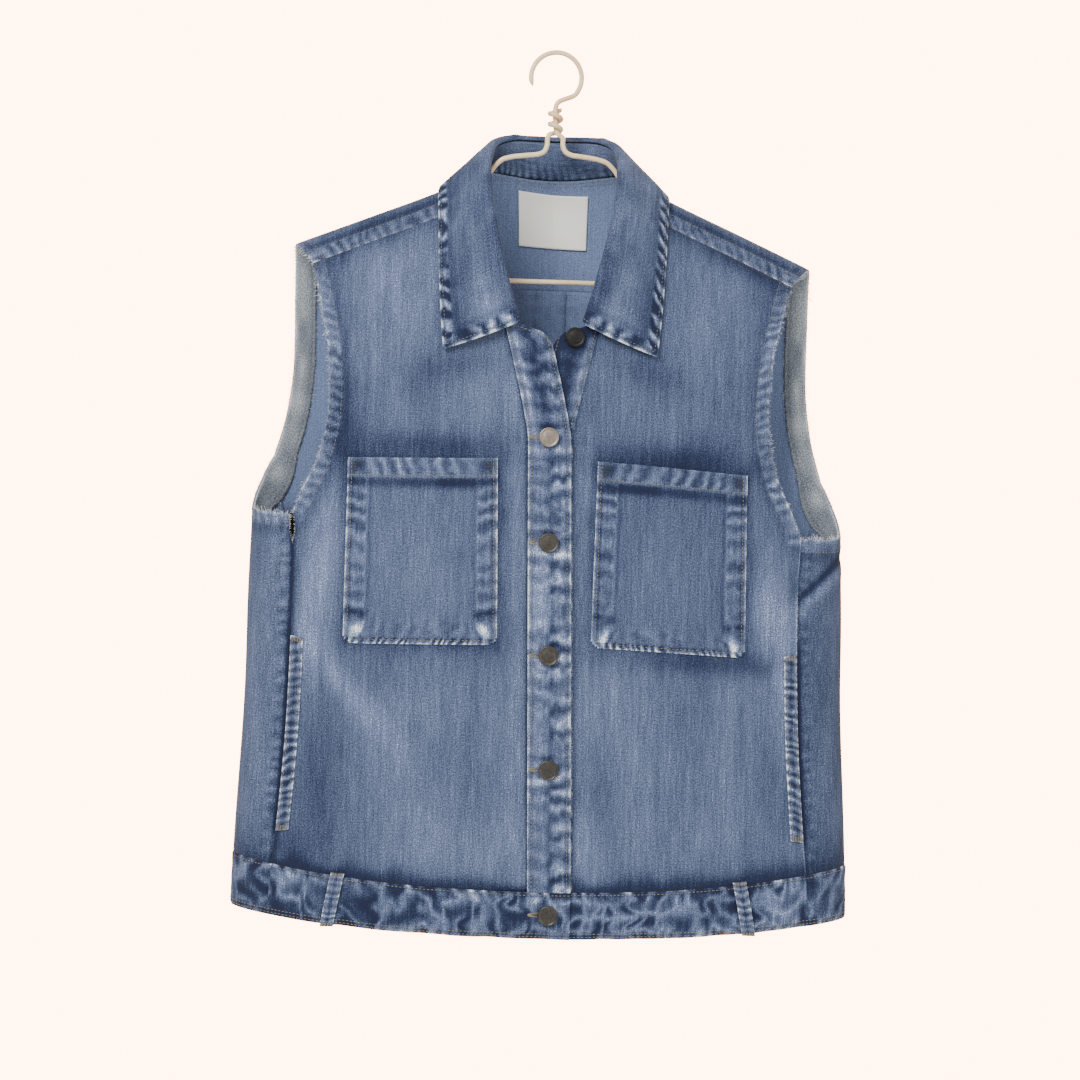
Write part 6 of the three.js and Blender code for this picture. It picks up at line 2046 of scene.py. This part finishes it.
@dataclass
class Needlework:
    """All the topstitching, tacks, buttonholes and loose threads of the vest."""

    shells: dict[str, Shell]
    finishes: Finishes
    sewing: Sewing = field(default_factory=Sewing)
    arm_rows: tuple[float, ...] = (3.2, 10.8)
    back_rows: tuple[float, ...] = (2.2, 8.4)
    yoke_rows: tuple[float, ...] = (2.2, 11.6)
    neck_rows: tuple[float, ...] = (2.0, 4.6)
    band_rows: tuple[float, ...] = (2.2, 4.8, 39.6)
    closure_row: float = 3.4
    pocket_row: float = 3.6
    pocket_hem: float = 15.3
    patch_row: float = 2.0
    hole_offset: float = 5.5

    def fronts(self, sign: int) -> list[ThreadLine]:
        """Rows along the armhole of a front and of its side and back panels."""
        s, name = self.sewing, hand(sign)
        front, side, back = (self.shells[f"{part}_{name}_denim"] for part in ("front", "side", "back"))
        above = front.fields["z"][:, -1] > ARM_TOP + 4
        above_back = back.fields["z"][:, -1] > BACK_ARM_TOP + 4
        lines = [s.up_rows(front, front.fields["arm"], level, above) for level in self.arm_rows]
        lines += [s.up_rows(back, back.fields["arm"], level, above_back) for level in self.arm_rows]
        lines += [s.over_columns(side, side.fields["down"], level) for level in self.arm_rows]
        columns = side.middle.shape[1] - 1
        rows = np.arange(side.middle.shape[0] - 6, dtype=float)
        lines += [s.stitched(side, rows, np.full(len(rows), float(c)))
                  for c in (columns - 1.2, columns - 3.4)]
        return lines

    def back_seams(self, sign: int) -> list[ThreadLine]:
        """Rows beside the centre back seam and below the back yoke."""
        s, back = self.sewing, self.shells[f"back_{hand(sign)}_denim"]
        lines = [s.up_rows(back, back.fields["middle"], 2.2)]
        if sign > 0:
            lines.append(s.up_rows(back, back.fields["middle"], 8.0))
        return lines + [s.over_columns(back, back.fields["down"], level) for level in self.back_rows]

    def yoke(self) -> list[ThreadLine]:
        """Rows along the yoke's front band, its tips and its neck."""
        s, yoke = self.sewing, self.shells["yoke_denim"]
        f, lines = yoke.fields, []
        for sign in (-1, 1):
            columns = f["x"][-1] * sign > NECK_X + 2
            lines += [s.over_columns(yoke, f["seam"], level, columns) for level in self.yoke_rows]
        rows = np.arange(yoke.middle.shape[0], dtype=float)
        last = yoke.middle.shape[1] - 1
        lines += [s.stitched(yoke, rows, np.full(len(rows), c)) for c in (1.4, 4.6, last - 1.4, last - 4.6)]
        neck = np.abs(f["x"][-1]) < NECK_X - 3
        return lines + [s.over_columns(yoke, f["neck"], level, neck, Face.INNER) for level in self.neck_rows]

    def closure(self) -> list[ThreadLine]:
        """Rows down both plackets and round the waistband."""
        s, lines = self.sewing, []
        for name in ("placket_over_denim", "placket_under_denim"):
            strip = self.shells[name]
            across = strip.fields["across"]
            far = float(across.max()) - self.closure_row
            lines += [s.up_rows(strip, across, level) for level in (self.closure_row, far)]
        over = self.shells["placket_over_denim"]
        lines.append(s.over_columns(over, over.fields["from_top"], self.closure_row))
        for name in ("waistband_front_right_denim", "waistband_front_left_denim", "waistband_back_denim"):
            band = self.shells[name]
            lines += [s.over_columns(band, band.fields["up"], level) for level in self.band_rows]
        return lines

    def collar(self) -> list[ThreadLine]:
        """A row along the collar's edge and down its ends."""
        s, leaf = self.sewing, self.shells["collar_leaf_denim"]
        edge, end = leaf.fields["edge"], leaf.fields["end"]
        middle = end[0] > 3
        lines = [s.over_columns(leaf, edge, self.closure_row, middle)]
        falling = edge[:, 0] > 3
        half = leaf.middle.shape[1] // 2
        for columns in (slice(0, half), slice(half, None)):
            part = Shell(leaf.name, *[getattr(leaf, k)[:, columns]
                                      for k in ("middle", "normal", "low", "high", "wear", "grain")])
            lines.append(s.up_rows(part, end[:, columns], self.closure_row, falling))
        return lines

    def patches(self, sign: int) -> tuple[list[ThreadLine], list[ThreadLine]]:
        """Rows round a pocket, a welt and a belt loop; then their dense tacks."""
        s, name, row = self.sewing, hand(sign), self.pocket_row
        pocket, welt, loop = (self.shells[f"{part}_{name}_denim"]
                              for part in ("chest_pocket", "pocket_welt", "belt_loop"))
        a, b, wide, tall = (pocket.fields[k] for k in ("side", "bottom", "wide", "tall"))
        rows, columns = b[:, 0] > 5, (a[0] > 6) & (a[0] < wide - 6)
        lines = [s.up_rows(pocket, a, level, rows) for level in (row, wide - row)]
        lines += [s.over_columns(pocket, b, row, columns), s.over_columns(pocket, b, tall - self.pocket_hem)]
        corner = 2.2
        for end in (row, wide - row):
            step = corner if end < wide / 2 else -corner
            lines.append(s.stitched(pocket, *self.cells(pocket, [(end, 6), (end + step, row + 1.4)])))
        tacks = []
        for start, way in ((row, 1), (wide - row, -1)):
            places = [(start, tall - 2.5), (start + way * 11, tall - 2.5), (start + way * 2, tall - 15),
                      (start + way * 2, tall - 14)]
            corners = tuple(np.array(self.cells(pocket, [p])).ravel() for p in places)
            tacks.append(s.tack(pocket, corners, 9))
        for patch in (welt, loop):
            f = patch.fields
            side = float(f["across"].max())
            lines += [s.up_rows(patch, f["across"], level)
                      for level in (self.patch_row, side - self.patch_row)]
            high, far = patch.middle.shape[0] - 1, patch.middle.shape[1] - 1
            deep = 3 if patch is loop else 4
            for low_row, high_row in ((0.6, deep), (high - deep, high - 0.6)):
                corners = ((low_row, 0.8), (high_row, 0.8), (low_row, far - 0.8), (high_row, far - 0.8))
                tacks.append(s.tack(patch, corners, 6))
        return lines, tacks

    def cells(self, pocket: Shell, places: list[tuple[float, float]]) -> tuple[Array, Array]:
        """Rows and columns of places given by distance from a pocket's inner and bottom edges."""
        wide, tall = pocket.fields["wide"], pocket.fields["tall"]
        rows, columns = pocket.middle.shape[0] - 1, pocket.middle.shape[1] - 1
        p = np.array(places, float)
        return p[:, 1] / tall * rows, p[:, 0] / wide * columns

    def holes(self) -> list[ThreadLine]:
        """The overcast edges of the five buttonholes."""
        base = GAP + DOUBLE + 0.15
        lines = []
        for z in BUTTON_HEIGHTS:
            on_band = z < WAIST.front
            level = BAND_HIGH + DOUBLE + GAP + 0.5 if on_band else base
            lines.append(self.sewing.buttonhole(float(centre_x(z)) - self.hole_offset, z, level))
        return lines

    def edge(self, shell: Shell, which: tuple, beyond: tuple, every: float,
             seed: int) -> tuple[ThreadLine, Array]:
        """Roots for loose threads along one edge of a shell.

        Args:
            shell: the frayed piece.
            which: index of the edge's points.
            beyond: index of the points one step inside.
            every: distance between threads.
            seed: picks their lengths.

        Returns:
            The roots, and each thread's length in metres.
        """
        rng = np.random.default_rng(seed)
        surface = shell.middle + shell.normal * ((shell.high + shell.low) / 2)[..., None]
        line, inside, normal = surface[which], surface[beyond], shell.normal[which]
        passed = length_along(line)
        where = np.sort(rng.uniform(0, passed[-1], int(passed[-1] / every)))
        at = lambda rows: np.stack([np.interp(where, passed, rows[:, k]) for k in range(3)], 1)
        clump = 0.5 + 0.5 * Noise(seed)(where / 14)
        reach = (1.0 + 2.6 * clump**2 * rng.uniform(0.4, 1.2, len(where))) * MM
        return ThreadLine(at(line), unit(at(line - inside)), unit(at(normal))), reach

    def frays(self) -> tuple[ThreadLine, Array]:
        """Loose white threads at the armholes, the facings' raw edges and the rip."""
        found = []
        for sign in (-1, 1):
            front, side, back, facing = (self.shells[f"{k}_{hand(sign)}_denim"]
                                         for k in ("front", "side", "back", "armhole_facing"))
            z_front, z_back = front.fields["z"][:, -1], back.fields["z"][:, -1]
            above, above_back = np.flatnonzero(z_front > ARM_TOP), np.flatnonzero(z_back > BACK_ARM_TOP)
            found.append(self.edge(front, (above, -1), (above, -2), 1.5, 300 + sign))
            found.append(self.edge(back, (above_back, -1), (above_back, -2), 1.0, 302 + sign))
            found.append(self.edge(side, (-1, slice(None)), (-2, slice(None)), 0.8, 304 + sign))
            found.append(self.edge(facing, (-1, slice(None)), (-2, slice(None)), 2.0, 306 + sign))
            found.append(self.edge(facing, (0, slice(None)), (1, slice(None)), 1.1, 312 + sign))
        yoke = self.shells["yoke_denim"]
        found.append(self.edge(yoke, (slice(None), 0), (slice(None), 1), 0.9, 308))
        found.append(self.edge(yoke, (slice(None), -1), (slice(None), -2), 0.9, 309))
        front, side = self.shells["front_right_denim"], self.shells["side_right_denim"]
        heights = front.fields["z"][:, -1]
        torn = np.flatnonzero((heights < ARM_TOP) & (heights > RIP_END - 2))
        found.append(self.edge(front, (torn, -1), (torn, -2), 0.5, 310))
        torn = np.arange(side.middle.shape[0] - 12, side.middle.shape[0])
        found.append(self.edge(side, (torn, 0), (torn, 1), 0.5, 311))
        return ThreadLine.joined([line for line, _ in found]), np.concatenate([reach for _, reach in found])

    def build(self) -> None:
        """Makes the thread pieces with Geometry Nodes."""
        gold, pale = stitch_tree(self.finishes.thread), stitch_tree(self.finishes.blue_thread)
        size = {"Length": 2.7 * MM, "Thickness": 0.72 * MM}
        tack_size = {"Length": 2.5 * MM, "Thickness": 0.6 * MM}
        rows, triangles, bars = [], [], []
        for sign in (-1, 1):
            found, tacks = self.patches(sign)
            rows += found
            triangles += tacks[:2]
            bars += tacks[2:]
        grow("topstitch_patches", ThreadLine.joined(rows), gold, Slot.BAND, size)
        grow("topstitch_corner_tacks", ThreadLine.joined(triangles),
             stitch_tree(self.finishes.dark_thread), Slot.BAND, tack_size)
        grow("topstitch_bar_tacks", ThreadLine.joined(bars), gold, Slot.BAND, tack_size)
        grow("topstitch_buttonholes", ThreadLine.joined(self.holes()), gold, Slot.BAND,
             {"Length": 2.2 * MM, "Thickness": 0.85 * MM})
        grow("topstitch_closure", ThreadLine.joined(self.closure()), gold, Slot.BAND, size)
        panels = [line for sign in (-1, 1) for line in self.fronts(sign) + self.back_seams(sign)]
        grow("topstitch_panels", ThreadLine.joined(panels + self.yoke()), pale, Slot.DENIM, size)
        grow("topstitch_collar", ThreadLine.joined(self.collar()), pale, Slot.DENIM, size)
        line, reach = self.frays()
        sizes = {"Shortest": 0.5, "Longest": 1.6, "Spread": 0.5}
        grow("loose_threads", line, fray_tree(self.finishes.fray), Slot.WRONG_SIDE, sizes, reach)


def main() -> None:
    """Builds the vest, its stitching and the studio."""
    logging.basicConfig(level=logging.INFO, format="%(message)s")
    finishes = Finishes()
    denim, facings = [finishes.denim, finishes.wrong], [finishes.facing, finishes.facing]
    Hanger().build(finishes)
    shells: dict[str, Shell] = {}
    fronts, sides, backs, band = Fronts(), Sides(), Backs(), Waistband()
    plackets, collar, patches, arms = Plackets(), Collar(), Patches(), ArmholeFacings()

    def add(shell: Shell, nodes: list[str], slot: Slot, dressed: list[bpy.types.Material] = denim) -> None:
        """Builds one shell and keeps it for its stitching."""
        shell.build(dressed, nodes, slot)
        shells[shell.name] = shell

    for sign in (-1, 1):
        side = hand(sign)
        add(fronts.panel(sign), [f"front_{side}"], Slot.DENIM)
        add(sides.panel(sign), [f"side_{side}"], Slot.DENIM)
        add(backs.panel(sign), [f"back_{side}"], Slot.DENIM)
        add(band.front(sign), [f"waistband_front_{side}"], Slot.BAND)
        add(arms.shell(sign), [f"armhole_facing_{side}"], Slot.WRONG_SIDE, facings)
        add(patches.pocket(sign), [f"chest_pocket_{side}"], Slot.DENIM)
        add(patches.welt(sign), [f"pocket_welt_{side}"], Slot.BAND)
        add(patches.loop(sign), [f"belt_loop_{side}"], Slot.BAND)
    add(Yoke().panel(), ["yoke"], Slot.DENIM)
    add(band.back(), ["waistband_back"], Slot.BAND)
    add(plackets.strip(True), ["placket_over"], Slot.BAND)
    add(plackets.strip(False), ["placket_under"], Slot.BAND)
    add(collar.stand(), ["collar_stand"], Slot.DENIM, [finishes.denim, finishes.denim])
    add(collar.leaf(), ["collar_leaf"], Slot.DENIM, [finishes.denim, finishes.denim])
    add(patches.label(), ["neck_label"], Slot.LABEL, [finishes.label, finishes.label])
    Buttons().build(finishes)
    Needlework(shells, finishes).build()
    Studio().build()


if __name__ == "__main__":
    main()
